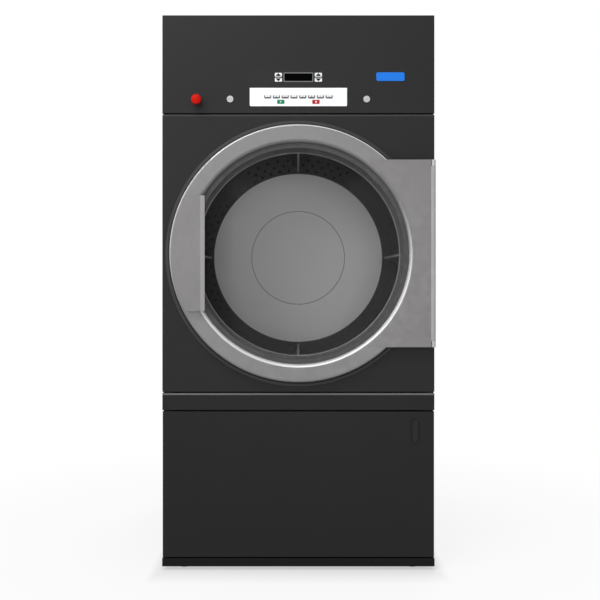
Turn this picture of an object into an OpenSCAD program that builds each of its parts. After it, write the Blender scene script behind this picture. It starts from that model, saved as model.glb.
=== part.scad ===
// Industrial tumble dryer: sheet-steel cabinet, round glazed door, belt-driven drum,
// lint compartment, exhaust fan and hinged control panel.
// X runs to the right seen from the front, the front faces -Y, Z is up.
// The origin is on the floor under the middle of the machine.

/* [Cabinet] */
// Width over the front panels
cab_w = 790; // [770:1:810]
// Height from the floor to the top cover
cab_h = 1610; // [1600:1:1660]
// Depth from the face of the front panel to the back of the rear panel
cab_d = 880; // [860:1:960]
// Thickness of the cabinet sheet
sheet = 1.5; // [1.2:0.1:2]
// Thickness of the inner sheet metal
thin_sheet = 1.2; // [0.8:0.1:1.5]
// Outside radius of the bent front edges
bend_r = 4; // [3:0.5:5]
// Depth of the folds behind the front panels
fold_d = 18; // [16:1:20]
// Width of the flanges inside the side panels
flange_w = 25; // [20:1:28]
// Gap between neighbouring front panels
seam = 4; // [3:0.5:5]
// Clear height under the base frame
foot_gap = 12; // [10:1:25]
// Height of the base frame
base_h = 23; // [20:1:30]
// Distance of the feet from the cabinet's edges
foot_inset = 60; // [50:1:90]

/* [Front panels] */
// Height of the hinged control panel
control_h = 284; // [270:1:300]
// Height of plain sheet above and below the bead round the door
front_margin = 16; // [12:1:20]
// Distance of the door's axis below the middle of the front panel
axis_drop = 1; // [0:0.5:3]
// Height of the rail between the lint door and the front panel
rail_h = 49; // [40:1:60]
// Distance of the control panel's hinges from the cabinet's sides
panel_hinge_side = 105; // [75:1:155]

/* [Door] */
// Distance of the door ring's rim from the cabinet's sides
door_side = 24; // [23:1:29]
// Width of the door ring
ring_w = 51; // [47:1:53]
// Distance of the door's face in front of the front panel
door_face = 30; // [26:1:34]
// Gap between the door ring's rim and the front panel
door_gap = 2; // [1.5:0.5:3]
// Radius of the door ring's outer edge
door_edge_r = 6; // [4:0.5:8]
// Radius of the door ring's rolled inner edge
door_roll_r = 11; // [8:0.5:12]
// Thickness of the door glass
glass_t = 5; // [4:0.5:8]
// Distance of the pressed bead's middle from the door ring's rim
bead_gap = 8.5; // [7:0.5:10]
// Radius of the bead's section
bead_section_r = 6.5; // [5:0.5:7]
// Height of the hinge plate
hinge_plate_h = 538; // [500:1:560]
// Distance of the hinge pin from the cabinet's side
hinge_side = 7; // [7:0.5:9]
// Outside radius of the hinge barrel
barrel_r = 6.8; // [6:0.1:7]
// Radius of the hinge pin
hinge_pin_r = 3.5; // [3:0.1:4]
// Height of the grip plate
grip_h = 330; // [300:1:340]
// Width of the grip plate, from the door ring's rim to its free edge
grip_w = 103.5; // [92:0.5:106]
// Width of the sloping lip along the grip plate's free edge
grip_lip_w = 9; // [6:0.5:12]
// Distance of the grip plate in front of the front panel
grip_face = 48; // [45:1:55]

/* [Drum] */
// Distance of the drum's wall from the cabinet's sides
drum_side = 20; // [19:1:25]
// Distance of the drum's front wall behind the front panel
drum_front = 86; // [84:1:95]
// Depth of the room behind the drum's back for its bearings and drive
back_room = 190; // [185:1:220]
// Distance by which the door tunnel narrows towards the drum
tunnel_step = 18; // [15:1:25]
// Width of the ring of air holes round the plain disc in the drum's back
air_ring_w = 71; // [65:1:80]
// Radius of the pressed circle in the plain disc
hub_press_r = 168; // [150:1:180]
// Height of a lifter
lifter_h = 62; // [50:1:64]
// Width of a lifter's foot
lifter_w = 74; // [60:1:90]
// Number of lifters
lifter_count = 4; // [3:1:6]
// Radius of the holes in the drum's back
air_hole_r = 5; // [4:0.5:6]
// Radius of the drum shaft
shaft_r = 20; // [18:1:22]

/* [Drive] */
// Distance of the drum pulley's rim inside the drum's wall
pulley_inset = 85; // [80:1:105]
// Radius of the motor pulley
motor_pulley_r = 22; // [20:1:26]
// Width of the pulleys
pulley_w = 24; // [22:1:26]
// Thickness of the drive belt
belt_t = 3; // [2.5:0.5:4]
// Distance of the motor's axis from the cabinet's side
motor_side = 133; // [120:1:140]
// Distance of the motor's axis below the drum's wall
motor_drop = 25; // [20:1:35]
// Radius of the drive motor's casing
motor_r = 76; // [70:1:78]

/* [Exhaust] */
// Outside radius of the exhaust spigot
spigot_r = 100; // [95:1:102]
// Length of the exhaust spigot behind the rear panel
spigot_len = 50; // [40:1:80]
// Gap between the spigot and the edge of the rear panel's hole
spigot_gap = 2.6; // [2.4:0.2:4]
// Height of the exhaust spigot's axis above the fan's axis
spigot_up = 75; // [65:1:80]
// Radius of the scroll round the fan wheel
scroll_r = 155; // [150:1:158]
// Distance of the fan wheel from the scroll round it
fan_tip_gap = 41; // [38:1:48]
// Width of the fan wheel
fan_w = 96; // [80:1:100]
// Number of fan blades
blade_count = 24; // [12:1:30]

/* [Controls] */
// Width of the keypad overlay
overlay_w = 282; // [275:1:290]
// Height of the keypad overlay
overlay_h = 108; // [106:1:112]
// Height of the overlay's middle above the control panel's lower edge
overlay_up = 74.5; // [72:0.5:80]
// Thickness of the overlay
overlay_t = 0.8; // [0.5:0.1:1]
// Width of a key
key_w = 20.5; // [19:0.5:21]
// Height of a key
key_h = 11; // [10:0.5:11.5]
// Distance between neighbouring keys
key_pitch = 25.5; // [25:0.5:27]
// Travel of a key
key_travel = 0.8; // [0.5:0.1:1]
// Distance of the panel locks from the machine's middle
lock_x = 198; // [190:1:210]
// Radius of a panel lock's head
lock_r = 9.5; // [9:0.5:11]
// Distance of the emergency stop button from the cabinet's side
stop_side = 101.5; // [95:0.5:110]
// Radius of the emergency stop button
stop_r = 14; // [13:0.5:16]
// Travel of the emergency stop button
stop_travel = 5; // [4:0.5:6]

/* [Fits] */
// Radial clearance of turning and sliding fits
run_fit = 0.05; // [0.02:0.01:0.1]
// Gap between pieces that only lie close together
easy_gap = 0.3; // [0.2:0.1:0.5]

/* [Hidden] */
$fn = 96;

KEY_NAMES = [
    "key_1", "key_2", "key_3", "key_4", "key_5", "key_6", "key_7", "key_8",
    "start_key", "stop_key", "left_up_key", "left_down_key", "right_up_key", "right_down_key"
];

// What stands across the cabinet
side_x = cab_w / 2 - sheet;
door_r = cab_w / 2 - door_side;
door_in_r = door_r - ring_w;
bead_r = door_r + bead_gap;
hinge_x = cab_w / 2 - hinge_side;
grip_x = door_r - grip_w;
drum_r = cab_w / 2 - drum_side;
disc_r = drum_r - air_ring_w;
mouth_r = door_in_r - tunnel_step;

// Heights of the front panels
front_h = 2 * (bead_r + bead_section_r + front_margin);
control_z = cab_h - control_h;
front_z = control_z - seam - front_h;
axis_z = front_z + front_h / 2 - axis_drop;
rail_z = front_z - seam - rail_h;
base_top = foot_gap + base_h;
lint_door_z = base_top + seam;
lint_door_h = rail_z - seam - lint_door_z;

// Depths are counted from the face of the front panel
body_shift = -(cab_d + spigot_len - grip_face) / 2;
rear_y = cab_d - sheet;
cover_y = fold_d + 6;
cover_skirt = 30;
deck_z = control_z + 4;

// Door hinge and switch
hinge_y = -door_face + 5.8;
knuckle_h = 18;
hinge_plate_in = 171;
switch_x = door_r - 20;
switch_w = 30;
switch_h = 14;

// Drum chamber
drum_back_y = cab_d - back_room;
drum_len = drum_back_y - drum_front;
collar_end_y = drum_front - 6;
seal_t = 8;
neck_r = mouth_r + thin_sheet + seal_t + easy_gap;
neck_len = 27;
lifter_crest_r = drum_r - lifter_h - 1;
drum_press = 3;
bulkhead_gap = 27;
bulkhead_y = drum_back_y + bulkhead_gap;
shroud_gap = 9;
shroud_len = 40;
rail_w = 40;
rail_d = 22;
duct_w = 190;
duct_up = 190;
duct_d = 82;
duct_z = axis_z + duct_up;

// Drum shaft, bearings and drive
spider_t = 9;
spider_w = 40;
shaft_flange_r = 90;
pulley_gap = 109;
pulley_y = bulkhead_y + pulley_gap;
shaft_tail = 8;
pulley_rim_t = 8;
pulley_hub_r = 44;
pulley_hole_r = 52;
pulley_r = drum_r - pulley_inset;
motor_x = motor_side - cab_w / 2;
motor_dz = drum_r + motor_drop;
motor_z = axis_z - motor_dz;
motor_len = 186;
motor_front = 108;
motor_plate_w = 2 * motor_r + 34;
motor_shaft_r = 12;
bulkhead_z = motor_z - motor_plate_w / 2 - 6;
bearing_w = 18;
bearing_r = 40;
housing_r = 55;
housing_len = 98;
housing_plate_w = 236;
housing_plate_h = 170;
housing_bolt_r = 6;
rail_x = (housing_plate_w + rail_w) / 2 + 2;
rail_foot_z = motor_z + motor_plate_w / 2 + 6;

// Heater
heater_w = 500;
heater_h = 215;
heater_len = 426;
heater_y = cab_d - 24 - heater_len;
heater_z = deck_z + sheet;
rod_r = 4;
rod_pitch = 40;
rod_end_room = 50;
rod_len = heater_w - 2 * rod_end_room;
rod_row_pitch = 52;
rod_strip_w = 35;

// Exhaust fan
scroll_w = fan_w + 34;
fan_floor_gap = 25;
fan_room = 30;
outlet_drop = 15;
fan_rear_gap = 23.5;
swage = 0.6;
fan_r = scroll_r - fan_tip_gap;
fan_z = base_top + scroll_r + fan_floor_gap;
fan_motor_r = 66;
fan_motor_len = 150;
fan_shaft_r = 9;
plenum_y = cab_d - 52;
plenum_w = 2 * spigot_r + 10;
fan_y = rear_y - fan_rear_gap - scroll_r;
spigot_z = fan_z + spigot_up;

// Lint compartment
lint_half = cab_w / 2 - 40;
lint_y = 26;
lint_fan_gap = 19;
lint_d = fan_y - scroll_r - lint_fan_gap - lint_y;
lint_top = rail_z + 13;
screen_drop = 188;
screen_z = lint_top - screen_drop;
screen_t = 18;
screen_frame_w = 20;
lint_hinge_x = 7 - cab_w / 2;
lint_hinge_y = 5;
lint_pin_r = 3;
latch_x = cab_w / 2 - 57;
latch_z = rail_z - 41;
latch_w = 17;
latch_len = 63;
latch_pin_r = 6;

// Control panel
panel_hinge_x = cab_w / 2 - panel_hinge_side;
panel_pivot_y = 10;
panel_pivot_z = cab_h - 10;
panel_pin_r = 2.5;
panel_eye_w = 20;
overlay_z = control_z + overlay_up;
lock_z = control_z + 41;
lock_pin_r = 6;
stop_x = cab_w / 2 - stop_side;
stop_z = control_z + 36;
stop_collar_t = 6;
stop_stem_r = 8;
stop_pin_r = 5;
stop_hole_r = 11;
stop_head_t = 22.7;
key_flange = 1.4;
pcb_y = 6;
display_w = 87;
display_h = 28;
display_z = control_z + 104;
tray_side = 65;
tray_y = 60;
tray_d = 240;
tray_h = 190;
tray_gap = 20;
supply_x = 200;
supply_w = 120;
supply_d = 160;
supply_h = 148.5;
relay_x = 60;
relay_w = 200;
relay_d = 80;
relay_h = 108.5;

// Key places: eight along a row, start and stop below it, four beside the display
key_row_z = control_z + 48;
pair_row_z = control_z + 33;
pair_x = 51;
arrow_x = 58;
arrow_up_z = control_z + 111.5;
arrow_down_z = control_z + 97;
KEY_PLACES = concat(
    [for (i = [0 : 7]) [(i - 3.5) * key_pitch, key_row_z]],
    [[-pair_x, pair_row_z], [pair_x, pair_row_z]],
    [[-arrow_x, arrow_up_z], [-arrow_x, arrow_down_z]],
    [[arrow_x, arrow_up_z], [arrow_x, arrow_down_z]]
);

// Screws on the rear panel and the top cover's skirts
screw_end = 60;
screw_span = cab_h - 2 * cover_skirt - base_top - 2 * screw_end;
skirt_span = cab_d - cover_y - 2 * screw_end;
SCREW_ROWS = [for (i = [0 : 5]) base_top + screw_end + i * screw_span / 5];
SKIRT_SCREWS = [for (i = [0 : 3]) cover_y + screw_end + i * skirt_span / 3];
screw_r = 2;
screw_head_r = 4.5;
screw_head_t = 2.4;
gland_x = cab_w / 2 - 95;
gland_up = 170;
gland_z = control_z + gland_up;
gland_r = 12;
gland_bore_r = 7;
gland_nut_r = 17;
louvre_w = 150;
louvre_h = 9;
louvre_out = 7;
louvre_x = 85;
louvre_pitch = 18;

// Helpers

// Puts a piece that is drawn from the front panel's face into the machine's frame
module in_cabinet() { translate([0, body_shift, 0]) children(); }

// A plan seen from the front, lying at the given depth and raised towards the user
module facing(y) { translate([0, y, 0]) rotate([90, 0, 0]) children(); }

// A ring turned about the drum axis, from points of radius and depth
module turned() { translate([0, 0, axis_z]) rotate([-90, 0, 0]) rotate_extrude() children(); }

// A plan drawn round the drum axis and pushed back from the given depth
module round_plan(y, depth) {
    translate([0, y, axis_z]) rotate([-90, 0, 0]) linear_extrude(depth) children();
}

// A cylinder along Y from a depth backwards
module rod_y(x, y, z, r, length) { translate([x, y, z]) rotate([-90, 0, 0]) cylinder(r = r, h = length); }

// A cylinder along X
module rod_x(x, y, z, r, length) { translate([x, y, z]) rotate([0, 90, 0]) cylinder(r = r, h = length); }

// A block from its lower corner to its upper corner
module block(low, high) { translate(low) cube(high - low); }

// A rectangle with round corners, centred
module round_rect(w, h, r) {
    for (sx = [-1, 1], sz = [-1, 1]) translate([sx * (w / 2 - r), sz * (h / 2 - r)]) circle(r = r);
    square([w - 2 * r, h], center = true);
    square([w, h - 2 * r], center = true);
}

// A bent sheet seen from above: a front face with round corners and two folds
module bent_front(w, d, r) {
    for (side = [-1, 1]) translate([side * (w / 2 - r), r]) circle(r = r);
    translate([-w / 2, r]) square([w, d - r]);
    translate([-w / 2 + r, 0]) square([w - 2 * r, d]);
}

// A front panel folded back on four sides
module folded_panel(w, z0, h, d) {
    translate([0, 0, z0]) {
        linear_extrude(h) difference() {
            bent_front(w, d, bend_r);
            translate([0, sheet]) bent_front(w - 2 * sheet, d, bend_r - sheet);
        }
        for (z = [0, h - sheet]) translate([0, 0, z]) linear_extrude(sheet) bent_front(w, d, bend_r);
    }
}

// Cabinet

module base_frame() {
    color("#26282a") in_cabinet() {
        difference() {
            block([-cab_w / 2, 0, foot_gap], [cab_w / 2, cab_d, base_top]);
            block([-cab_w / 2 + 2, 2, foot_gap - 1], [cab_w / 2 - 2, cab_d - 2, base_top - sheet]);
        }
        for (side = [-1, 1], y = [foot_inset, cab_d - foot_inset]) difference() {
            translate([side * (cab_w / 2 - 2 - foot_inset / 2), y, foot_gap + 2])
                cube([foot_inset, foot_inset, 4], center = true);
            translate([side * (cab_w / 2 - foot_inset), y, foot_gap - 1]) cylinder(r = 6 + run_fit, h = 6);
        }
        translate([lint_hinge_x, lint_hinge_y, base_top - 1]) cylinder(r = lint_pin_r, h = seam + 9);
    }
}

module levelling_feet() {
    color("#8c8f91") in_cabinet() for (side = [-1, 1], y = [foot_inset, cab_d - foot_inset])
        translate([side * (cab_w / 2 - foot_inset), y, 0]) {
            cylinder(r1 = 24, r2 = 20, h = 5);
            translate([0, 0, 5]) cylinder(r = 11, h = foot_gap - 5, $fn = 6);
            translate([0, 0, 5]) cylinder(r = 6, h = base_top - sheet - 7);
        }
}

// One side wall, drawn for the right and mirrored for the left
module side_wall() {
    wall_top = cab_h - sheet;
    notch_z = cab_h - cover_skirt;
    difference() {
        union() {
            block([side_x - sheet, fold_d, base_top], [side_x, rear_y, wall_top]);
            block([side_x - flange_w, fold_d, base_top], [side_x, fold_d + sheet, notch_z]);
            block([side_x - flange_w, rear_y - sheet, base_top], [side_x, rear_y, wall_top]);
            block([side_x - flange_w, cover_y + sheet, wall_top - sheet], [side_x, rear_y, wall_top]);
            block([side_x - flange_w, fold_d, base_top], [side_x, rear_y, base_top + sheet]);
        }
        block([side_x - flange_w - 1, 0, notch_z], [side_x + 1, cover_y + sheet, cab_h]);
        for (y = SKIRT_SCREWS) rod_x(side_x - 5, y, cab_h - cover_skirt / 2, screw_r + run_fit, 10);
        for (z = SCREW_ROWS) rod_y(side_x - flange_w / 2, rear_y - 5, z, screw_r + run_fit, 10);
    }
}

module right_side_panel() { color("#3b3d3f") in_cabinet() side_wall(); }

module left_side_panel() { color("#3b3d3f") in_cabinet() mirror([1, 0, 0]) side_wall(); }

module top_cover() {
    half = cab_w / 2;
    color("#3b3d3f") in_cabinet() {
        difference() {
            block([-half, cover_y, cab_h - cover_skirt], [half, cab_d, cab_h]);
            block([-side_x, cover_y + sheet, 0], [side_x, rear_y, cab_h - sheet]);
            for (y = SKIRT_SCREWS)
                rod_x(-half - 1, y, cab_h - cover_skirt / 2, screw_r + run_fit, cab_w + 2);
        }
        for (side = [-1, 1]) {
            block([side * panel_hinge_x - panel_eye_w / 2, panel_pivot_y, panel_pivot_z - 3],
                  [side * panel_hinge_x + panel_eye_w / 2, cover_y, panel_pivot_z + 3]);
            rod_x(side * panel_hinge_x - panel_eye_w / 2, panel_pivot_y, panel_pivot_z,
                  2 * panel_pin_r, panel_eye_w);
            rod_x(side * (panel_hinge_x + 8) - 8, panel_pivot_y, panel_pivot_z, panel_pin_r, 16);
        }
    }
}

// One louvre: a slot under a hood that slopes out of the sheet
module louvre_hood(x, z) {
    translate([x - louvre_w / 2, 0, z]) rotate([90, 0, 90]) linear_extrude(louvre_w) difference() {
        polygon([[rear_y, 0], [cab_d + louvre_out, 0], [cab_d, louvre_h * 1.6], [rear_y, louvre_h * 1.6]]);
        polygon([[rear_y - 1, -1], [cab_d + louvre_out - sheet, -1], [cab_d - sheet, louvre_h * 1.3],
                 [rear_y - 1, louvre_h * 1.3]]);
    }
}

module rear_panel() {
    louvre_z = control_z + 70;
    half = cab_w / 2;
    color("#56595b") in_cabinet() {
        difference() {
            block([-half, rear_y, base_top], [half, cab_d, cab_h - cover_skirt - 1]);
            rod_y(0, rear_y - 1, spigot_z, spigot_r - swage + spigot_gap, 4);
            rod_y(gland_x, rear_y - 1, gland_z, gland_r + run_fit, 4);
            for (side = [-1, 1], z = SCREW_ROWS)
                rod_y(side * (side_x - flange_w / 2), rear_y - 1, z, screw_r + run_fit, 4);
            for (x = [-louvre_x, louvre_x], i = [0 : 7]) translate([0, 0, louvre_z + i * louvre_pitch])
                block([x - louvre_w / 2 + sheet, rear_y - 1, 0],
                      [x + louvre_w / 2 - sheet, cab_d + 1, louvre_h * 1.3]);
        }
        for (x = [-louvre_x, louvre_x], i = [0 : 7]) louvre_hood(x, louvre_z + i * louvre_pitch);
    }
}

// The round opening and its pressed bead leave room for the door ring and the tunnel
module front_panel() {
    opening_r = door_in_r + 8;
    color("#3b3d3f") in_cabinet() {
        difference() {
            folded_panel(cab_w, front_z, front_h, fold_d);
            rod_y(0, -1, axis_z, opening_r, fold_d - sheet);
            turned() translate([bead_r, 0])
                square([2 * (bead_section_r - sheet), 4 * sheet], center = true);
            block([-switch_x - switch_w / 2 - easy_gap, -1, axis_z - switch_h / 2 - easy_gap],
                  [-switch_x + switch_w / 2 + easy_gap, fold_d - 3, axis_z + switch_h / 2 + easy_gap]);
        }
        turned() translate([bead_r, 0]) difference() {
            circle(r = bead_section_r);
            circle(r = bead_section_r - sheet);
            translate([-10, sheet]) square([20, 10]);
        }
    }
}

module hinge_posts() {
    half = hinge_plate_h / 2;
    pin_len = 60;
    color("#b9bcbe") in_cabinet() for (side = [-1, 1]) {
        z0 = axis_z + (side > 0 ? half - knuckle_h : -half);
        translate([hinge_x, hinge_y, z0]) cylinder(r = barrel_r, h = knuckle_h);
        block([hinge_x - 6, hinge_y, z0], [hinge_x + 6, 0, z0 + knuckle_h]);
        translate([hinge_x, hinge_y, side > 0 ? z0 - pin_len : z0 + knuckle_h])
            cylinder(r = hinge_pin_r, h = pin_len);
    }
}

module door_switch() {
    color("#1c1d1e") in_cabinet()
        block([-switch_x - switch_w / 2, -door_gap + easy_gap, axis_z - switch_h / 2],
              [-switch_x + switch_w / 2, 20, axis_z + switch_h / 2]);
}

// Bulkhead behind the drum, with its air window, shroud and stiffening rails
module bulkhead() {
    shroud_r = drum_r + shroud_gap;
    color("#9a9da0") in_cabinet() {
        difference() {
            block([-side_x + sheet, bulkhead_y - sheet, bulkhead_z], [side_x - sheet, bulkhead_y, deck_z]);
            rod_y(0, bulkhead_y - 5, axis_z, housing_r + 1, 10);
            rod_y(motor_x, bulkhead_y - 5, motor_z, motor_r + 2, 10);
            block([-scroll_w / 2 - 6, bulkhead_y - 5, 0],
                  [scroll_w / 2 + fan_motor_len + 20, bulkhead_y + 5, fan_z + scroll_r + fan_room]);
            intersection() {
                round_plan(bulkhead_y - 5, 10) difference() {
                    circle(r = drum_r - 8);
                    circle(r = disc_r + 6);
                }
                block([-duct_w + 3, 0, duct_z + 10], [duct_w - 3, cab_d, cab_h]);
            }
        }
        round_plan(drum_back_y - shroud_len, bulkhead_y - sheet - drum_back_y + shroud_len) difference() {
            circle(r = shroud_r);
            circle(r = shroud_r - thin_sheet);
        }
        for (side = [-1, 1]) translate([side * rail_x, bulkhead_y, 0]) difference() {
            block([-rail_w / 2, 0, rail_foot_z], [rail_w / 2, rail_d, duct_z - 4]);
            block([-rail_w / 2 + sheet, -1, 0], [rail_w / 2 - sheet, rail_d - sheet, cab_h]);
        }
    }
}

// Door tunnel: flange behind the front panel, cone, straight end and rolled lip
module tunnel_collar() {
    t = thin_sheet;
    front_r = door_in_r + 2;
    flange = switch_x - switch_w / 2 - 2 - front_r;
    cone_end = collar_end_y - 22;
    color("#5c5e60") in_cabinet() turned() {
        polygon([
            [front_r, sheet], [front_r + flange, sheet], [front_r + flange, sheet + t],
            [front_r + t, sheet + t], [mouth_r + t, cone_end], [mouth_r + t, collar_end_y],
            [mouth_r, collar_end_y], [mouth_r, cone_end]
        ]);
        translate([mouth_r + t, collar_end_y]) circle(r = 2);
    }
}

module drum_seal() {
    color("#7d7a70") in_cabinet() turned() translate([mouth_r + thin_sheet, collar_end_y - 20])
        square([seal_t, 17]);
}

// Drum

module drum_shell() {
    t = thin_sheet;
    color("#a9abad") in_cabinet() turned() {
        translate([drum_r, drum_front]) square([t, drum_len + t]);
        translate([neck_r, drum_front]) square([drum_r - neck_r + t, t]);
        translate([neck_r, drum_front - neck_len]) square([t, neck_len + t]);
    }
}

// Back of the drum: plain pressed disc inside a ring of air holes
module drum_back() {
    t = thin_sheet;
    color("#b4b6b8") in_cabinet() difference() {
        turned() {
            translate([0, drum_back_y - 2 * drum_press]) square([hub_press_r, t]);
            translate([hub_press_r - t, drum_back_y - 2 * drum_press]) square([t, drum_press + t]);
            translate([hub_press_r - t, drum_back_y - drum_press]) square([disc_r - hub_press_r + t, t]);
            translate([disc_r - t, drum_back_y - drum_press]) square([t, drum_press + t]);
            translate([disc_r - t, drum_back_y]) square([drum_r - 0.2 - disc_r + t, t]);
        }
        for (ring = [0 : 2], i = [0 : 59]) {
            a = (i + ring / 2) * 6;
            r = disc_r + 14 + ring * 19;
            rod_y(r * cos(a), drum_back_y - 1, axis_z + r * sin(a), air_hole_r, 4);
        }
    }
}

// One lifter's section: a folded hat with a narrow round crest, standing on the drum wall
module lifter_section() {
    crest = 5;
    t = thin_sheet;
    top = lifter_crest_r;
    difference() {
        intersection() {
            circle(r = drum_r - 0.2);
            union() {
                polygon([[-lifter_w / 2, drum_r + 5], [lifter_w / 2, drum_r + 5], [crest, top + crest],
                         [-crest, top + crest]]);
                translate([0, top + crest]) circle(r = crest);
            }
        }
        polygon([[-lifter_w / 2 + 3 * t, drum_r + 6], [lifter_w / 2 - 3 * t, drum_r + 6],
                 [crest - t, top + 3 * crest], [-crest + t, top + 3 * crest]]);
    }
}

module drum_lifters() {
    color("#c2c4c6") in_cabinet() round_plan(drum_front + 2 * thin_sheet, drum_len - 3 * thin_sheet)
        for (i = [0 : lifter_count - 1]) rotate(i * 360 / lifter_count) lifter_section();
}

// Shaft with its flange and the spider that carries the drum's back
module drum_shaft() {
    spider_y = drum_back_y + thin_sheet;
    hub_y = spider_y + spider_t + 1;
    end_y = pulley_y + pulley_w + shaft_tail;
    color("#85888b") in_cabinet() {
        turned() polygon([
            [0, spider_y], [shaft_flange_r, spider_y], [shaft_flange_r, hub_y], [shaft_r + 14, hub_y + 3],
            [shaft_r, hub_y + 3], [shaft_r, end_y], [0, end_y]
        ]);
        for (i = [0 : lifter_count - 1]) translate([0, spider_y, axis_z])
            rotate([0, 45 + i * 360 / lifter_count, 0]) difference() {
                block([shaft_flange_r - 10, 0, -spider_w / 2], [drum_r - 4, spider_t, spider_w / 2]);
                block([shaft_flange_r + 6, 3, 3 - spider_w / 2],
                      [drum_r - 8, spider_t + 1, spider_w / 2 - 3]);
            }
    }
}

module bearing_housing() {
    color("#4d5052") in_cabinet() difference() {
        union() {
            rod_y(0, bulkhead_y - 10, axis_z, housing_r, housing_len);
            translate([0, bulkhead_y, axis_z]) rotate([-90, 0, 0]) linear_extrude(12)
                round_rect(housing_plate_w, housing_plate_h, 24);
        }
        rod_y(0, bulkhead_y - 11, axis_z, bearing_r, housing_len + 2);
        for (sx = [-1, 1], sz = [-1, 1])
            rod_y(sx * (housing_plate_w / 2 - 18), bulkhead_y - 1, axis_z + sz * (housing_plate_h / 2 - 19),
                  housing_bolt_r, 14);
    }
}

module drum_bearings() {
    color("#c9cbcd") in_cabinet() for (y = [bulkhead_y - 8, bulkhead_y + housing_len - 30])
        turned() translate([0, y]) difference() {
            translate([shaft_r + run_fit, 0]) square([bearing_r - shaft_r - 2 * run_fit, bearing_w]);
            for (edge = [-1, bearing_w - 1.5]) translate([shaft_r + 6, edge]) square([8, 2.5]);
        }
}

module drum_pulley() {
    color("#6d7073") in_cabinet() difference() {
        turned() {
            translate([pulley_r - pulley_rim_t, pulley_y]) square([pulley_rim_t, pulley_w]);
            translate([pulley_hub_r - 4, pulley_y + 9])
                square([pulley_r - pulley_rim_t - pulley_hub_r + 8, 5]);
            translate([shaft_r, pulley_y - 4]) square([pulley_hub_r - shaft_r, pulley_w + 4]);
        }
        for (i = [0 : 5]) rotate_about_axis(i * 60)
            rod_y((pulley_r + pulley_hub_r) / 2, pulley_y, axis_z, pulley_hole_r, pulley_w);
    }
}

// Turns a piece about the drum axis
module rotate_about_axis(angle) {
    translate([0, 0, axis_z]) rotate([0, angle, 0]) translate([0, 0, -axis_z]) children();
}

module motor_pulley() {
    color("#8f9295") in_cabinet() translate([motor_x, 0, motor_z]) rotate([-90, 0, 0]) rotate_extrude() {
        translate([0, pulley_y - 54]) square([motor_shaft_r, pulley_w + 60]);
        translate([0, pulley_y]) square([motor_pulley_r, pulley_w]);
        for (y = [pulley_y - 3, pulley_y + pulley_w])
            translate([0, y]) square([motor_pulley_r + belt_t + 2, 3]);
    }
}

// A motor casing along Z: a plain core with cooling fins and a lower boss at each end
module finned_casing(r, length, fins, fin_t) {
    pitch = length / (fins + 1);
    cylinder(r = r - 5, h = length);
    cylinder(r = r, h = pitch);
    translate([0, 0, length - pitch]) cylinder(r = r, h = pitch);
    for (i = [1 : fins]) translate([0, 0, i * pitch + (pitch - fin_t) / 2]) cylinder(r = r, h = fin_t);
}

module drive_motor() {
    motor_y = bulkhead_y - motor_front;
    color("#3f5568") in_cabinet() difference() {
        union() {
            translate([motor_x, motor_y, motor_z]) rotate([-90, 0, 0])
                finned_casing(motor_r, motor_len, 12, 5);
            translate([motor_x, bulkhead_y, motor_z]) rotate([-90, 0, 0]) linear_extrude(8)
                round_rect(motor_plate_w, motor_plate_w, 14);
            block([motor_x + 20, bulkhead_y - 70, motor_z - motor_r - 16],
                  [motor_x + 60, bulkhead_y - 10, motor_z]);
        }
        rod_y(motor_x, pulley_y - 55, motor_z, motor_shaft_r + run_fit, 40);
    }
}

// Flat belt round both pulleys
module drive_belt() {
    belt_w = pulley_w - 4;
    color("#1b1b1c") in_cabinet() translate([0, pulley_y + 2, axis_z]) rotate([-90, 0, 0])
        linear_extrude(belt_w) difference() {
            belt_path(easy_gap + belt_t);
            belt_path(easy_gap);
        }
}

module belt_path(off_pulley) {
    hull() {
        circle(r = pulley_r + off_pulley);
        translate([motor_x, motor_dz]) circle(r = motor_pulley_r + off_pulley);
    }
}

// Heating

module heater_box() {
    t = thin_sheet;
    half = heater_w / 2;
    top = heater_z + heater_h;
    color("#b1b4b6") in_cabinet() difference() {
        union() {
            block([-half, heater_y, heater_z], [half, heater_y + heater_len, top]);
            block([-duct_w, bulkhead_y, duct_z], [duct_w, bulkhead_y + duct_d, heater_z + 5]);
        }
        block([-half + t, heater_y + t, heater_z + t], [half - t, heater_y + heater_len + 1, top - t]);
        block([-duct_w + t, bulkhead_y - 1, duct_z + t],
              [duct_w - t, bulkhead_y + duct_d - t, heater_z + 9]);
    }
}

// Bare heating rods bent into hairpins, with their fixing strips
module heater_elements() {
    bends = 5;
    y0 = heater_y + 90;
    strip_x = heater_w / 2 - thin_sheet - easy_gap - rod_strip_w / 2;
    color("#8a6f62") in_cabinet() for (row = [0 : 2]) {
        z = heater_z + thin_sheet + 50 + row * rod_row_pitch;
        for (i = [0 : bends]) {
            rod_x(-rod_len / 2, y0 + i * rod_pitch, z, rod_r, rod_len);
            if (i < bends) for (side = [-1, 1]) if ((i % 2 == 0) == (side > 0))
                translate([side * rod_len / 2, y0 + (i + 0.5) * rod_pitch, z])
                    rotate([0, 0, side > 0 ? -90 : 90])
                    rotate_extrude(angle = 180) translate([rod_pitch / 2, 0]) circle(r = rod_r);
        }
        for (side = [-1, 1]) block([side * strip_x - rod_strip_w / 2, y0 - rod_pitch / 2, z - 2 * rod_r],
            [side * strip_x + rod_strip_w / 2, y0 + (bends + 0.5) * rod_pitch, z - rod_r / 2]);
    }
}

// Exhaust

// Outline of the scroll: a round casing with its outlet leaving at the top, towards the rear
module scroll_outline(grow) {
    translate([fan_y, fan_z]) circle(r = scroll_r + grow);
    translate([fan_y, fan_z - outlet_drop - grow])
        square([plenum_y - fan_y, scroll_r + outlet_drop + 2 * grow]);
}

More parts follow.
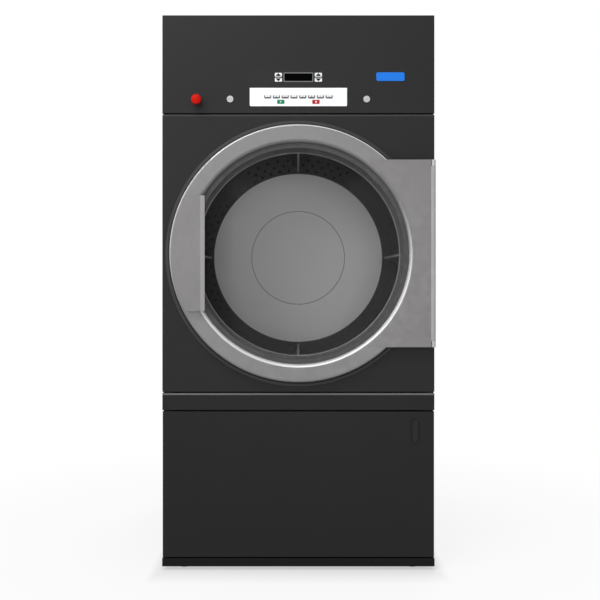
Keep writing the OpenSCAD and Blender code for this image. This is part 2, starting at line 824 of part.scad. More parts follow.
module fan_housing() {
    t = thin_sheet;
    half = scroll_w / 2;
    in_half = half - t;
    color("#9da0a2") in_cabinet() {
        difference() {
            union() {
                translate([-half, 0, 0]) rotate([90, 0, 90]) linear_extrude(scroll_w) scroll_outline(0);
                block([-plenum_w / 2, plenum_y, spigot_z - plenum_w / 2],
                      [plenum_w / 2, rear_y - 1, spigot_z + plenum_w / 2]);
                rod_y(0, rear_y - 2, spigot_z, spigot_r - swage, sheet + 4);
                rod_y(0, cab_d + 1, spigot_z, spigot_r, spigot_len - 1);
                for (side = [-1, 1]) block([side * (half - 15) - 12, fan_y - 60, base_top],
                                           [side * (half - 15) + 12, fan_y + 60, base_top + 40]);
            }
            translate([-in_half, 0, 0]) rotate([90, 0, 90]) linear_extrude(2 * in_half) scroll_outline(-t);
            block([-in_half, plenum_y - 10, fan_z - outlet_drop + t],
                  [in_half, plenum_y + 10, fan_z + scroll_r - t]);
            block([-plenum_w / 2 + t, plenum_y + t, spigot_z - plenum_w / 2 + t],
                  [plenum_w / 2 - t, rear_y - 1 - t, spigot_z + plenum_w / 2 - t]);
            rod_y(0, rear_y - 10, spigot_z, spigot_r - swage - t, 30);
            rod_y(0, cab_d + 1 + t, spigot_z, spigot_r - t, spigot_len);
            rod_x(-half - 1, fan_y, fan_z, fan_r - 38, t + 2);
            rod_x(half - t - 1, fan_y, fan_z, fan_shaft_r + 7, t + 2);
        }
    }
}

// Squirrel-cage wheel: back plate, hub and shaft, curved blades and a front ring
module fan_wheel() {
    x0 = -fan_w / 2;
    color("#74777a") in_cabinet() translate([0, fan_y, fan_z]) rotate([0, 90, 0]) {
        translate([0, 0, fan_w / 2 - 3]) cylinder(r = fan_r, h = 3);
        translate([0, 0, fan_w / 2 - 40]) cylinder(r = 24, h = 40);
        translate([0, 0, fan_w / 2 - 44]) cylinder(r = fan_shaft_r, h = scroll_w / 2 - fan_w / 2 + 70);
        translate([0, 0, x0]) difference() {
            cylinder(r = fan_r, h = 4);
            translate([0, 0, -1]) cylinder(r = fan_r - 26, h = 6);
        }
        for (i = [0 : blade_count - 1]) rotate(i * 360 / blade_count) translate([0, 0, x0 + 3.5])
            linear_extrude(fan_w - 6) intersection() {
                translate([fan_r - 14, 22]) difference() {
                    circle(r = 26);
                    circle(r = 24.6);
                }
                translate([fan_r - 25, -5]) square([23, 14]);
            }
    }
}

module fan_motor() {
    x0 = scroll_w / 2;
    color("#3f5568") in_cabinet() difference() {
        union() {
            rod_x(x0, fan_y, fan_z, fan_motor_r + 22, 5);
            translate([x0, fan_y, fan_z]) rotate([0, 90, 0])
                finned_casing(fan_motor_r, fan_motor_len, 9, 5);
            rod_x(x0 + fan_motor_len, fan_y, fan_z, fan_motor_r - 8, 14);
            block([x0 + 40, fan_y - 30, base_top], [x0 + 110, fan_y + 30, fan_z]);
        }
        rod_x(x0 - 1, fan_y, fan_z, fan_shaft_r + run_fit, 31);
    }
}

// Lint compartment with its visible front rail

module lint_box() {
    t = thin_sheet;
    half = lint_half;
    vent_gap = 22;
    color("#303234") in_cabinet() {
        folded_panel(cab_w, rail_z, rail_h, fold_d);
        difference() {
            block([-half, lint_y, base_top], [half, lint_y + lint_d, lint_top]);
            block([-half + t, lint_y - 1, base_top + t], [half - t, lint_y + lint_d - t, lint_top + 1]);
            block([-duct_w, lint_y + lint_d - 5, base_top + vent_gap],
                  [duct_w, lint_y + lint_d + 5, screen_z - vent_gap]);
        }
        block([-half, sheet / 2, lint_top - t], [half, lint_y + 12, lint_top]);
        for (side = [-1, 1]) block([side * (half - 8) - 8, lint_y + 4, screen_z - 2],
            [side * (half - 8) + 8, lint_y + lint_d - 4, screen_z]);
        translate([lint_hinge_x, lint_hinge_y, rail_z - seam - 6]) cylinder(r = lint_pin_r, h = seam + 7);
    }
}

// Sliding screen: frame, cross bars and a finger tab
module lint_screen() {
    half = lint_half - thin_sheet - 2;
    y0 = lint_y + 10;
    y1 = lint_y + lint_d - 8;
    in_half = half - screen_frame_w;
    in_y0 = y0 + screen_frame_w;
    in_y1 = y1 - screen_frame_w;
    bar = 3;
    bars = 26;
    color("#c4c6c8") in_cabinet() {
        difference() {
            block([-half, y0, screen_z], [half, y1, screen_z + screen_t]);
            block([-in_half, in_y0, screen_z - 1], [in_half, in_y1, screen_z + screen_t + 1]);
        }
        for (i = [1 : bars])
            translate([-in_half + i * 2 * in_half / (bars + 1) - bar / 2, in_y0 - 1, screen_z + 6])
            cube([bar, in_y1 - in_y0 + 2, bar]);
        for (i = [1 : 3]) translate([-in_half - 1, in_y0 + i * (in_y1 - in_y0) / 4 - bar, screen_z + 4])
            cube([2 * in_half + 2, 2 * bar, bar]);
        block([-45, y0 - 6, screen_z], [45, y0 + 1, screen_z + 2]);
    }
}

module lint_door() {
    w = cab_w - 2;
    d = fold_d - 2;
    left = -w / 2;
    color("#3a3c3e") in_cabinet() difference() {
        folded_panel(w, lint_door_z, lint_door_h, d);
        block([left - 1, 10, 0], [left + 2 * sheet, fold_d, cab_h]);
        block([left - 1, 10, 0], [lint_hinge_x + 3, fold_d, cab_h]);
        translate([lint_hinge_x, lint_hinge_y, 0]) cylinder(r = lint_pin_r + run_fit, h = rail_z);
        rod_y(latch_x, -1, latch_z, latch_pin_r + run_fit, sheet + 2);
    }
}

// Lever, spindle and tongue of the lint door's latch
module lint_latch() {
    tongue_y = fold_d + sheet + 2.5;
    color("#4a4c4e") in_cabinet() {
        facing(-easy_gap) translate([latch_x, latch_z + 13 - latch_len / 2]) linear_extrude(6)
            round_rect(latch_w, latch_len, 5);
        rod_y(latch_x, -1, latch_z, latch_pin_r, tongue_y + 1.5);
        facing(tongue_y + 2) translate([latch_x, latch_z - 16]) linear_extrude(2) round_rect(14, 46, 4);
    }
}

// Door

module door_ring() {
    back = -door_gap;
    face = -door_face;
    out_c = door_r - door_edge_r;
    in_c = door_in_r + door_roll_r;
    t = sheet;
    color("#8b8d8f") in_cabinet() {
        turned() {
            translate([door_r - t, face + door_edge_r]) square([t, back - face - door_edge_r]);
            ring_corner(out_c, face + door_edge_r, door_edge_r, 0);
            translate([in_c, face]) square([out_c - in_c, t]);
            ring_corner(in_c, face + door_roll_r, door_roll_r, 1);
            translate([door_in_r, face + door_roll_r]) square([t, -9 - face - door_roll_r]);
            translate([door_in_r - 6, -10.5]) square([6 + t, 1.5]);
        }
        block([-switch_x - switch_w / 2, face + t / 2, axis_z - switch_h / 2],
              [-switch_x + switch_w / 2, back, axis_z + switch_h / 2]);
    }
}

// Quarter of a bent sheet in a turned section; side 0 is the outer corner, 1 the inner
module ring_corner(r_mid, y_mid, r, side) {
    translate([r_mid, y_mid]) intersection() {
        difference() {
            circle(r = r);
            circle(r = r - sheet);
        }
        translate([side == 0 ? 0 : -r, -r]) square([r, r]);
    }
}

module door_hinge_plate() {
    half = hinge_plate_h / 2;
    knuckle = knuckle_h + 0.4;
    front = -door_face - sheet;
    left_r = door_in_r + door_roll_r + 2;
    color("#86888a") in_cabinet() difference() {
        union() {
            difference() {
                block([door_r - hinge_plate_in, front, axis_z - half],
                      [hinge_x - barrel_r - 0.6, front + sheet, axis_z + half]);
                rod_y(0, front - 1, axis_z, left_r, 5);
            }
            block([hinge_x - barrel_r - 1, front, axis_z - half + knuckle],
                  [hinge_x, front + sheet, axis_z + half - knuckle]);
            translate([hinge_x, hinge_y, axis_z - half + knuckle])
                cylinder(r = barrel_r, h = hinge_plate_h - 2 * knuckle);
        }
        translate([hinge_x, hinge_y, axis_z - half]) cylinder(r = hinge_pin_r + run_fit, h = hinge_plate_h);
    }
}

// Grip: a raised segment of the ring, closed at both ends, with a lip that slopes back from it
module door_handle() {
    front = -grip_face;
    lip_back = front + 2.2;
    grip_r = door_r - 9;
    depth = grip_face - door_face;
    color("#8b8d8f") in_cabinet() {
        facing(front + sheet) linear_extrude(sheet) grip_plan(grip_r);
        difference() {
            facing(-door_face) linear_extrude(depth) grip_plan(grip_r);
            facing(-door_face + 1) linear_extrude(depth + 2)
                translate([0, axis_z]) circle(r = grip_r - sheet);
        }
        for (side = [-1, 1]) intersection() {
            facing(-door_face) linear_extrude(depth) grip_plan(grip_r);
            block([-door_r, -grip_face, axis_z + side * (grip_h / 2 - sheet / 2) - sheet / 2],
                  [-grip_x - 18, 0, axis_z + side * (grip_h / 2 - sheet / 2) + sheet / 2]);
        }
        translate([0, 0, axis_z - grip_h / 2]) linear_extrude(grip_h) polygon([
            [-grip_x - grip_lip_w - 0.5, front], [-grip_x - grip_lip_w, front], [-grip_x, lip_back],
            [-grip_x, lip_back + sheet], [-grip_x - grip_lip_w - 0.5, front + sheet]
        ]);
    }
}

module grip_plan(r) {
    intersection() {
        translate([0, axis_z]) circle(r = r);
        translate([-r - 1, axis_z - grip_h / 2]) square([r + 1 - grip_x - grip_lip_w, grip_h]);
    }
}

module door_glass() {
    color("#8fa3a8", 0.35) in_cabinet() rod_y(0, -10 - glass_t / 2, axis_z, door_in_r - 8.2, glass_t);
}

// Rubber profile between the glass and the ring's inner flange
module door_gasket() {
    color("#2a2b2c") in_cabinet() turned() difference() {
        translate([door_in_r - 15, -10 - glass_t / 2 - 2.5]) square([14, glass_t + 5]);
        translate([door_in_r - 20, -10 - glass_t / 2]) square([11.9, glass_t]);
        translate([door_in_r - 6.1, -10.6]) square([10, 1.7]);
    }
}

// Controls

module control_panel() {
    ear_x = panel_hinge_x + panel_eye_w / 2 + 1.5;
    color("#3b3d3f") in_cabinet() {
        difference() {
            folded_panel(cab_w, control_z, control_h, fold_d);
            for (place = KEY_PLACES) facing(5) translate(place) linear_extrude(10) key_plan(easy_gap);
            facing(5) translate([0, display_z]) linear_extrude(10)
                square([display_w, display_h], center = true);
            for (side = [-1, 1]) {
                rod_y(side * lock_x, -1, lock_z, lock_pin_r + run_fit, 5);
                block([side * panel_hinge_x - panel_eye_w / 2 - 4, sheet + 1, cab_h - 2 * sheet],
                      [side * panel_hinge_x + panel_eye_w / 2 + 0.5, fold_d + 1, cab_h + 1]);
            }
            rod_y(-stop_x, -1, stop_z, stop_hole_r + run_fit, 5);
        }
        for (side = [-1, 1]) difference() {
            block([side * ear_x - 1, sheet, panel_pivot_z - 9], [side * ear_x + 1, 17, cab_h - sheet]);
            rod_x(side * ear_x - 2, panel_pivot_y, panel_pivot_z, panel_pin_r + run_fit, 4);
        }
    }
}

// Outline of a key, grown all round
module key_plan(grow) { round_rect(key_w + 2 * grow, key_h + 2 * grow, 2); }

// Membrane on the panel, with the key board and display block on posts behind it
module keypad_overlay() {
    board_w = overlay_w - 10;
    color("#f2f4f5") in_cabinet() {
        difference() {
            facing(0) translate([0, overlay_z]) linear_extrude(overlay_t)
                round_rect(overlay_w, overlay_h, 3);
            for (place = KEY_PLACES) facing(5) translate(place) linear_extrude(10) key_plan(easy_gap);
        }
        facing(pcb_y) translate([0, display_z]) linear_extrude(pcb_y)
            square([display_w - 1, display_h - 1], center = true);
        facing(pcb_y + 2) translate([0, overlay_z]) linear_extrude(2)
            square([board_w, overlay_h - 4], center = true);
        for (sx = [-1, 1], sz = [-1, 1])
            rod_y(sx * (board_w / 2 - 6), sheet, overlay_z + sz * (overlay_h / 2 - 8), 3, pcb_y - sheet);
    }
}

// A key: cap in front of the overlay and a wider foot behind the panel
module key_body(place) {
    foot_y = sheet + 0.2;
    facing(pcb_y - key_travel - easy_gap) translate(place)
        linear_extrude(pcb_y - key_travel - easy_gap + overlay_t + 1) key_plan(0);
    facing(foot_y + 1.5) translate(place) linear_extrude(1.5)
        round_rect(key_w + 2 * key_flange, key_h + 2 * key_flange, 2);
}

function key_colour(i) = i == 8 ? "#337660" : i == 9 ? "#ac5056" : i > 9 ? "#f4f4f4" : "#d9dbdd";

module panel_key(i) { color(key_colour(i)) in_cabinet() key_body(KEY_PLACES[i]); }

// Quarter-turn lock: slotted head, shank and a tongue that lies sideways while open
module panel_lock(x, side) {
    tongue_y = fold_d + sheet + 5;
    color("#cfd1d2") in_cabinet() difference() {
        union() {
            rod_y(x, -2, lock_z, lock_r, 2);
            rod_y(x, -1, lock_z, lock_pin_r, tongue_y + 3);
            facing(tongue_y + 2) translate([x - side * 12, lock_z]) linear_extrude(2) round_rect(38, 12, 4);
        }
        block([x - 6, -3, lock_z - 0.8], [x + 6, -1, lock_z + 0.8]);
    }
}

module left_panel_lock() { panel_lock(-lock_x, -1); }

module right_panel_lock() { panel_lock(lock_x, 1); }

// Emergency stop: threaded collar with its nut and contact block
module stop_collar() {
    color("#232425") in_cabinet() translate([-stop_x, 0, stop_z]) rotate([-90, 0, 0]) difference() {
        union() {
            translate([0, 0, -stop_collar_t]) cylinder(r = stop_r - 1, h = stop_collar_t);
            translate([0, 0, -1]) cylinder(r = stop_hole_r, h = 14);
            translate([0, 0, sheet]) cylinder(r = stop_r + 1, h = 5, $fn = 6);
            translate([-14, -20, 12]) cube([28, 40, 28]);
        }
        translate([0, 0, -stop_collar_t - 1]) cylinder(r = stop_stem_r + run_fit, h = 24);
    }
}

module stop_stem() {
    shoulder = stop_collar_t + stop_travel + 2;
    color("#232425") in_cabinet() translate([-stop_x, 0, stop_z]) rotate([-90, 0, 0]) {
        translate([0, 0, -shoulder]) cylinder(r = stop_stem_r, h = 24);
        translate([0, 0, -shoulder - 11]) cylinder(r = stop_pin_r, h = 12);
    }
}

// Mushroom head, clear of the collar by its travel
module stop_head() {
    dome = 26;
    back = stop_collar_t + stop_travel + 2 + easy_gap;
    color("#c81a06") in_cabinet() translate([-stop_x, 0, stop_z]) rotate([-90, 0, 0])
        translate([0, 0, -back]) difference() {
            union() {
                translate([0, 0, -6]) cylinder(r1 = stop_r, r2 = stop_hole_r, h = 6);
                translate([0, 0, -14]) cylinder(r = stop_r, h = 8);
                intersection() {
                    translate([0, 0, dome - stop_head_t]) sphere(r = dome);
                    translate([0, 0, -stop_head_t - 1]) cylinder(r = stop_r, h = stop_head_t - 11);
                }
            }
            translate([0, 0, -11.2]) cylinder(r = stop_pin_r + run_fit, h = 12);
        }
}

// Deck over the drum chamber with the electronics tray and the lip that the locks catch
module control_box() {
    t = sheet;
    half = side_x - sheet;
    tray_half = cab_w / 2 - tray_side;
    tray_back = tray_y + tray_d;
    color("#a3a6a8") in_cabinet() {
        block([-half, cover_y + 2, deck_z], [half, bulkhead_y, deck_z + t]);
        for (side = [-1, 1]) {
            block([side * lock_x - 30, fold_d + 2, deck_z], [side * lock_x + 30, cover_y + 3, deck_z + t]);
            block([side * lock_x - 30, fold_d + 2, deck_z],
                  [side * lock_x + 30, fold_d + 2 + t, deck_z + 20]);
        }
        difference() {
            block([-tray_half, tray_y, deck_z + t / 2], [tray_half, tray_back, deck_z + tray_h]);
            block([-tray_half + t, tray_y - 1, deck_z + t],
                  [tray_half - t, tray_back - t, deck_z + tray_h + 1]);
        }
        translate([-supply_x, tray_back - tray_gap - supply_d, deck_z + t])
            cube([supply_w, supply_d, supply_h]);
        translate([relay_x, tray_back - tray_gap - relay_d, deck_z + t]) cube([relay_w, relay_d, relay_h]);
        for (i = [0 : 3]) translate([i * 18 - 20, tray_back - 60, deck_z + t]) cube([14, 50, 78]);
    }
}

module cable_gland() {
    color("#2b2c2d") in_cabinet() translate([gland_x, 0, gland_z]) rotate([-90, 0, 0]) difference() {
        union() {
            translate([0, 0, cab_d]) cylinder(r = gland_nut_r, h = 8, $fn = 6);
            translate([0, 0, cab_d + 8]) cylinder(r1 = 14, r2 = 11, h = 14);
            translate([0, 0, cab_d - 14]) cylinder(r = gland_r, h = 15);
            translate([0, 0, cab_d - sheet - 6]) cylinder(r = gland_nut_r, h = 6, $fn = 6);
        }
        translate([0, 0, cab_d - 15]) cylinder(r = gland_bore_r, h = 50);
    }
}

// A pan-head screw along +Z, its head above the sheet
module screw() {
    translate([0, 0, -6]) cylinder(r = screw_r, h = 6.5);
    cylinder(r1 = screw_head_r, r2 = screw_head_r - 1, h = screw_head_t);
}

module cabinet_screws() {
    color("#b7babc") in_cabinet() {
        for (side = [-1, 1], z = SCREW_ROWS)
            translate([side * (side_x - flange_w / 2), cab_d, z]) rotate([-90, 0, 0]) screw();
        for (side = [-1, 1], y = SKIRT_SCREWS)
            translate([side * cab_w / 2, y, cab_h - cover_skirt / 2]) rotate([0, side * 90, 0]) screw();
    }
}

base_frame();
levelling_feet();
left_side_panel();
right_side_panel();
top_cover();
rear_panel();
front_panel();
bulkhead();
tunnel_collar();
drum_seal();
heater_box();
heater_elements();
bearing_housing();
drum_bearings();
fan_housing();
fan_motor();
drive_motor();
drive_belt();
lint_box();
lint_screen();
control_box();
cable_gland();
door_switch();
hinge_posts();
cabinet_screws();
drum_shell();
drum_back();
drum_lifters();
drum_shaft();
drum_pulley();
motor_pulley();
fan_wheel();
door_ring();
door_hinge_plate();
door_handle();
door_glass();
door_gasket();
control_panel();
keypad_overlay();
left_panel_lock();
right_panel_lock();
stop_collar();
stop_stem();
stop_head();
lint_door();
lint_latch();
for (i = [0 : len(KEY_NAMES) - 1]) panel_key(i);
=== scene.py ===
"""Industrial tumble dryer: finishes, fine detail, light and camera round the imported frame."""
import math

import bmesh
import bpy
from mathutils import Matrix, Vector


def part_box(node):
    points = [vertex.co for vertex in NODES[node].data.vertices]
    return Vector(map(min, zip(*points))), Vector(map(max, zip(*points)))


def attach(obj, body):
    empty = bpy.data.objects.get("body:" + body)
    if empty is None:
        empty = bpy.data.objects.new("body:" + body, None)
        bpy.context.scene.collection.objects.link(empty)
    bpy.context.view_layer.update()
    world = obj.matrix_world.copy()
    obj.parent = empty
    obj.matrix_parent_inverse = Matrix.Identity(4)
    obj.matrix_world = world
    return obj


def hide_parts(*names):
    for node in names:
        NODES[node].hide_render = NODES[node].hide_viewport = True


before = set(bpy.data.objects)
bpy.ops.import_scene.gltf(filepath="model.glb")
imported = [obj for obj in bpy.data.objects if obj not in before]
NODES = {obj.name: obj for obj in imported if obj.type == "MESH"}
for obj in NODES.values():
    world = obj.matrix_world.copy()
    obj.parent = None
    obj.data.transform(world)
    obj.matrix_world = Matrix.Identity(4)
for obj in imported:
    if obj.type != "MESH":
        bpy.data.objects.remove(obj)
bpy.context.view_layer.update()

scene = bpy.context.scene


# Places and sizes taken from the frame, in metres

def middle(node):
    """Middle of a CAD node's box."""
    low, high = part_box(node)
    return (low + high) / 2


def reach(node):
    """How far a CAD node reaches to the right of the machine's middle: for a round one, its radius."""
    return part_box(node)[1].x


PANEL_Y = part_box("control_panel")[0].y
AXIS = middle("door_glass")              # a point on the axis of the drum and the door's ring
DOOR_R = reach("door_ring")


# Camera

SENSOR_MM = 36.0
CAMERA_DISTANCE = 2.75                   # from the control panel's face
VIEW_WIDTH = 1.74                        # what the picture takes in at that face
CAMERA_X = -0.004
CAMERA_Z = 0.857
LENS_SHIFT = 0.0050, -0.0417             # across and up, as shares of the picture's width


def place_camera():
    """Straight view of the front, from slightly above the machine's middle."""
    data = bpy.data.cameras.new("camera")
    data.sensor_width = SENSOR_MM
    data.lens = SENSOR_MM * CAMERA_DISTANCE / VIEW_WIDTH
    data.shift_x, data.shift_y = LENS_SHIFT
    data.dof.use_dof = False
    camera = bpy.data.objects.new("camera", data)
    camera.location = (CAMERA_X, PANEL_Y - CAMERA_DISTANCE, CAMERA_Z)
    camera.rotation_euler = (math.radians(90.0), 0.0, 0.0)
    scene.collection.objects.link(camera)
    scene.camera = camera


place_camera()


# Node trees

MIX_SOCKETS = {"FLOAT": (2, 3, 0), "RGBA": (6, 7, 2)}    # a Mix node's two inputs and its output
EVEN = (1.0, 1.0, 1.0)                                   # a stretch that leaves a pattern as it is


class Graph:
    """Adds, feeds and links the nodes of one node tree."""

    def __init__(self, tree):
        self.tree = tree

    def feed(self, node, into, value):
        """Links an output socket to an input, or sets the input to a plain value."""
        if isinstance(value, bpy.types.NodeSocket):
            self.tree.links.new(value, node.inputs[into])
        else:
            node.inputs[into].default_value = value

    def add(self, kind, inputs=None, **settings):
        """A new node, with its settings made and its inputs fed by name or number."""
        node = self.tree.nodes.new(kind)
        for key, value in settings.items():
            setattr(node, key, value)
        for into, value in (inputs or {}).items():
            self.feed(node, into, value)
        return node

    def maths(self, operation, *values):
        """Output of a Math node."""
        return self.add("ShaderNodeMath", dict(enumerate(values)), operation=operation).outputs[0]

    def xyz(self, **parts):
        """Output of a Combine XYZ node."""
        return self.add("ShaderNodeCombineXYZ", parts).outputs[0]

    def in_sight(self):
        """1 for what the camera sees, also in reflections and through glass, and otherwise 0."""
        rays = self.add("ShaderNodeLightPath").outputs
        direct = self.maths("MAXIMUM", rays["Is Camera Ray"], rays["Is Glossy Ray"])
        return self.maths("MAXIMUM", direct, rays["Is Transmission Ray"])


# Finishes

def srgb(*rgb):
    """A colour written as 0 to 255 screen values, as the linear value that a shader takes."""
    out = []
    for v in rgb:
        v /= 255.0
        out.append(v / 12.92 if v <= 0.04045 else ((v + 0.055) / 1.055) ** 2.4)
    return (out[0], out[1], out[2], 1.0)


class Finish(Graph):
    """One procedural material: a Principled shader fed by patterns in object space."""

    def __init__(self, name, rgb, rough, metal=0.0, **sockets):
        self.mat = bpy.data.materials.new(name)
        self.mat.use_nodes = True
        super().__init__(self.mat.node_tree)
        self.tree.nodes.clear()
        self.shader = self.add("ShaderNodeBsdfPrincipled",
                               {"Base Color": srgb(*rgb), "Roughness": rough, "Metallic": metal})
        for key, value in sockets.items():
            self.feed(self.shader, key.replace("_", " "), value)
        self.out = self.add("ShaderNodeOutputMaterial", {"Surface": self.shader.outputs["BSDF"]})
        self.place = self.add("ShaderNodeTexCoord").outputs["Object"]

    def stretched(self, scale):
        """Object coordinates multiplied by a scale along each axis."""
        return self.add("ShaderNodeMapping", {"Vector": self.place, "Scale": scale}).outputs["Vector"]

    def noise(self, scale, detail=3.0, stretch=EVEN, rough=0.5):
        """Cloudy pattern from 0 to 1."""
        inputs = {"Vector": self.stretched(stretch), "Scale": scale, "Detail": detail, "Roughness": rough}
        return self.add("ShaderNodeTexNoise", inputs).outputs["Fac"]

    def spread(self, value, low, high, start=0.3, end=0.7):
        """Maps start..end of a value to low..high, and holds the end values outside."""
        inputs = {"Value": value, "From Min": start, "From Max": end, "To Min": low, "To Max": high}
        return self.add("ShaderNodeMapRange", inputs).outputs["Result"]

    def step(self, value, start, end):
        """0 before start and 1 after end, or the other way round if end is less than start."""
        return self.spread(value, 0.0, 1.0, start, end)

    def axis_value(self, axis):
        """One object coordinate."""
        return self.add("ShaderNodeSeparateXYZ", {"Vector": self.place}).outputs[axis]

    def radius(self, centre, plane="XZ"):
        """Distance from a point, measured in a plane."""
        mask = [1.0 if axis in plane else 0.0 for axis in "XYZ"]
        shift = self.add("ShaderNodeVectorMath", {0: self.place, 1: centre}, operation="SUBTRACT")
        flat = self.add("ShaderNodeVectorMath", {0: shift.outputs[0], 1: mask}, operation="MULTIPLY")
        return self.add("ShaderNodeVectorMath", {0: flat.outputs[0]}, operation="LENGTH").outputs["Value"]

    def fed(self, name):
        """What a shader input gets so far: the output linked to it, or its plain value."""
        target = self.shader.inputs[name]
        return target.links[0].from_socket if target.is_linked else target.default_value

    def tint(self, value):
        """Multiplies the colour by a value."""
        colour = self.fed("Base Color")
        if not isinstance(colour, bpy.types.NodeSocket):
            colour = colour[:3]
        scaled = self.add("ShaderNodeVectorMath", {0: colour, "Scale": value}, operation="SCALE")
        self.feed(self.shader, "Base Color", scaled.outputs["Vector"])

    def mottle(self, amount, scale, stretch=EVEN, detail=4.0):
        """Slow lighter and darker clouds in the colour."""
        self.tint(self.spread(self.noise(scale, detail, stretch), 1.0 - amount, 1.0 + amount))
        return self

    def blend(self, name, factor, other):
        """Mixes another value into a shader input by a 0 to 1 factor."""
        kind = "RGBA" if name == "Base Color" else "FLOAT"
        first, second, result = MIX_SOCKETS[kind]
        mix = self.add("ShaderNodeMix", {0: factor, first: self.fed(name), second: other}, data_type=kind)
        self.feed(self.shader, name, mix.outputs[result])

    def paint(self, factor, *rgb):
        """Mixes another colour in by a 0 to 1 factor."""
        self.blend("Base Color", factor, srgb(*rgb))

    def polish(self, low, high, scale, stretch=EVEN):
        """Roughness that wanders between two values."""
        self.feed(self.shader, "Roughness", self.spread(self.noise(scale, stretch=stretch), low, high))
        return self

    def relief(self, pattern, strength, distance, smooth=None):
        """Raises the skin by a pattern, over smooth normals where they are given."""
        inputs = {"Height": pattern, "Strength": strength, "Distance": distance}
        if smooth is not None:
            inputs["Normal"] = smooth
        self.feed(self.shader, "Normal", self.add("ShaderNodeBump", inputs).outputs["Normal"])
        return self

    def soft_edges(self, radius):
        """Normals that shade the folds of bent sheet as if they were rounded."""
        return self.add("ShaderNodeBevel", {"Radius": radius}, samples=6).outputs["Normal"]


def powder_coat(name, rgb, rough):
    """Baked powder paint: slow clouds, wandering gloss, a fine orange-peel skin and soft folds."""
    f = Finish(name, rgb, rough, Specular_IOR_Level=0.12)
    f.mottle(0.03, scale=3.0).polish(rough - 0.03, rough + 0.04, scale=9.0)
    skin = f.noise(scale=520.0, detail=2.0)
    return f.relief(skin, strength=0.12, distance=0.0001, smooth=f.soft_edges(radius=0.003))


def satin_metal(name, rgb, rough, grain=EVEN, metal=1.0):
    """Metal with a fine grain, which a stretch makes a rolled or brushed one."""
    f = Finish(name, rgb, rough, metal)
    f.mottle(0.05, scale=4.0).mottle(0.03, scale=60.0, stretch=grain, detail=2.0)
    f.polish(rough - 0.07, rough + 0.08, scale=40.0, stretch=grain)
    return f.relief(f.noise(scale=180.0, detail=2.0, stretch=grain), strength=0.10, distance=0.0001)


def galvanised(name, rgb=(150, 154, 157), rough=0.45, metal=0.85):
    """Zinc-coated sheet: flat crystal patches, each a little lighter or darker."""
    f = Finish(name, rgb, rough, metal, Specular_IOR_Level=0.3)
    cells = f.add("ShaderNodeTexVoronoi", {"Vector": f.stretched(EVEN), "Scale": 85.0})
    patch = f.add("ShaderNodeSeparateColor", {"Color": cells.outputs["Color"]}).outputs
    f.tint(f.spread(patch["Red"], 0.84, 1.10, start=0.0, end=1.0))
    f.feed(f.shader, "Roughness", f.spread(patch["Green"], rough - 0.1, rough + 0.12, start=0.0, end=1.0))
    return f.mottle(0.05, scale=5.0)


def cast_metal(name, rgb, rough, metal):
    """Painted or raw casting with a sandy skin."""
    f = Finish(name, rgb, rough, metal)
    f.mottle(0.10, scale=14.0).polish(rough - 0.08, rough + 0.1, scale=60.0)
    return f.relief(f.noise(scale=700.0), strength=0.5, distance=0.0004)


def moulded(name, rgb, rough=0.45, grain=0.15, gloss=0.4):
    """Moulded plastic with a fine grained skin."""
    f = Finish(name, rgb, rough, Specular_IOR_Level=gloss)
    f.mottle(0.04, scale=25.0).polish(rough - 0.05, rough + 0.07, scale=90.0)
    return f.relief(f.noise(scale=1500.0, detail=2.0), strength=grain, distance=0.0001)


def rubber(name, rgb):
    """Dull rubber with a faint bloom."""
    rough = 0.78
    f = Finish(name, rgb, rough, Specular_IOR_Level=0.35)
    f.mottle(0.14, scale=40.0).polish(rough - 0.08, rough + 0.08, scale=120.0)
    return f.relief(f.noise(scale=900.0), strength=0.3, distance=0.0002)


def felt(name, rgb):
    """Pressed wool felt: soft fibres with a sheen."""
    f = Finish(name, rgb, 0.95, Sheen_Weight=0.4, Sheen_Roughness=0.6)
    f.mottle(0.18, scale=120.0, stretch=(1.0, 0.3, 1.0), detail=6.0)
    fibres = f.noise(scale=900.0, detail=6.0, stretch=(1.0, 0.4, 1.0), rough=0.7)
    return f.relief(fibres, strength=0.9, distance=0.0008)


def clear_glass(name, rgb, alpha):
    """Toughened glass with a faint grey tint and a slight waviness."""
    f = Finish(name, rgb, 0.03, Alpha=alpha)
    f.mottle(0.03, scale=2.0)
    return f.relief(f.noise(scale=6.0, detail=1.0), strength=0.03, distance=0.0004)


def heated_rod(name):
    """Bare resistance rod, straw and blue with heat along its length."""
    f = Finish(name, (128, 112, 104), 0.42, 0.9)
    f.paint(f.spread(f.noise(scale=22.0, stretch=(1.0, 0.2, 1.0)), 0.0, 0.8), 78, 72, 92)
    return f.polish(0.32, 0.55, scale=80.0)


# Finishes of single parts of this machine

LINE_EDGE = 0.0004                       # half of the width over which a painted line begins


def panel_with_painted_highlight(name, rgb, node, width, highlight_rgb):
    """Panel coat with a painted highlight along the panel's upper fold."""
    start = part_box(node)[1].z - width
    f = powder_coat(name, rgb, 0.44)
    # painted highlight: a lighter band at the top of the panel
    f.paint(f.step(f.axis_value("Z"), start - LINE_EDGE, start + LINE_EDGE), *highlight_rgb)
    return f


def front_panel_paint():
    """The panel coat, with a painted highlight along its upper fold and on the pressed bead just outside the
    door's ring.
    """
    inner = DOOR_R + 0.0025
    outer = DOOR_R + 0.0155
    fade = 0.0015
    f = panel_with_painted_highlight("front_coat", (37, 37, 37), "front_panel", 0.0040, (66, 66, 66))
    r = f.radius(AXIS)
    # painted highlight on the pressed bead
    bead = f.maths("MULTIPLY", f.step(r, inner, inner + fade), f.step(r, outer, outer - fade))
    f.paint(bead, 62, 62, 62)
    return f


def door_paint(name, rgb=(114, 112, 113)):
    """Satin metallic paint of the door."""
    return satin_metal(name, rgb, 0.38, metal=0.3)


def hinge_plate_paint():
    """The door's paint, with the bare steel of the hinge barrel."""
    barrel_width = 0.0140
    start = reach("door_hinge_plate") - barrel_width
    f = door_paint("hinge_plate_paint")
    f.paint(f.step(f.axis_value("X"), start - LINE_EDGE, start + LINE_EDGE), 150, 152, 152)
    return f


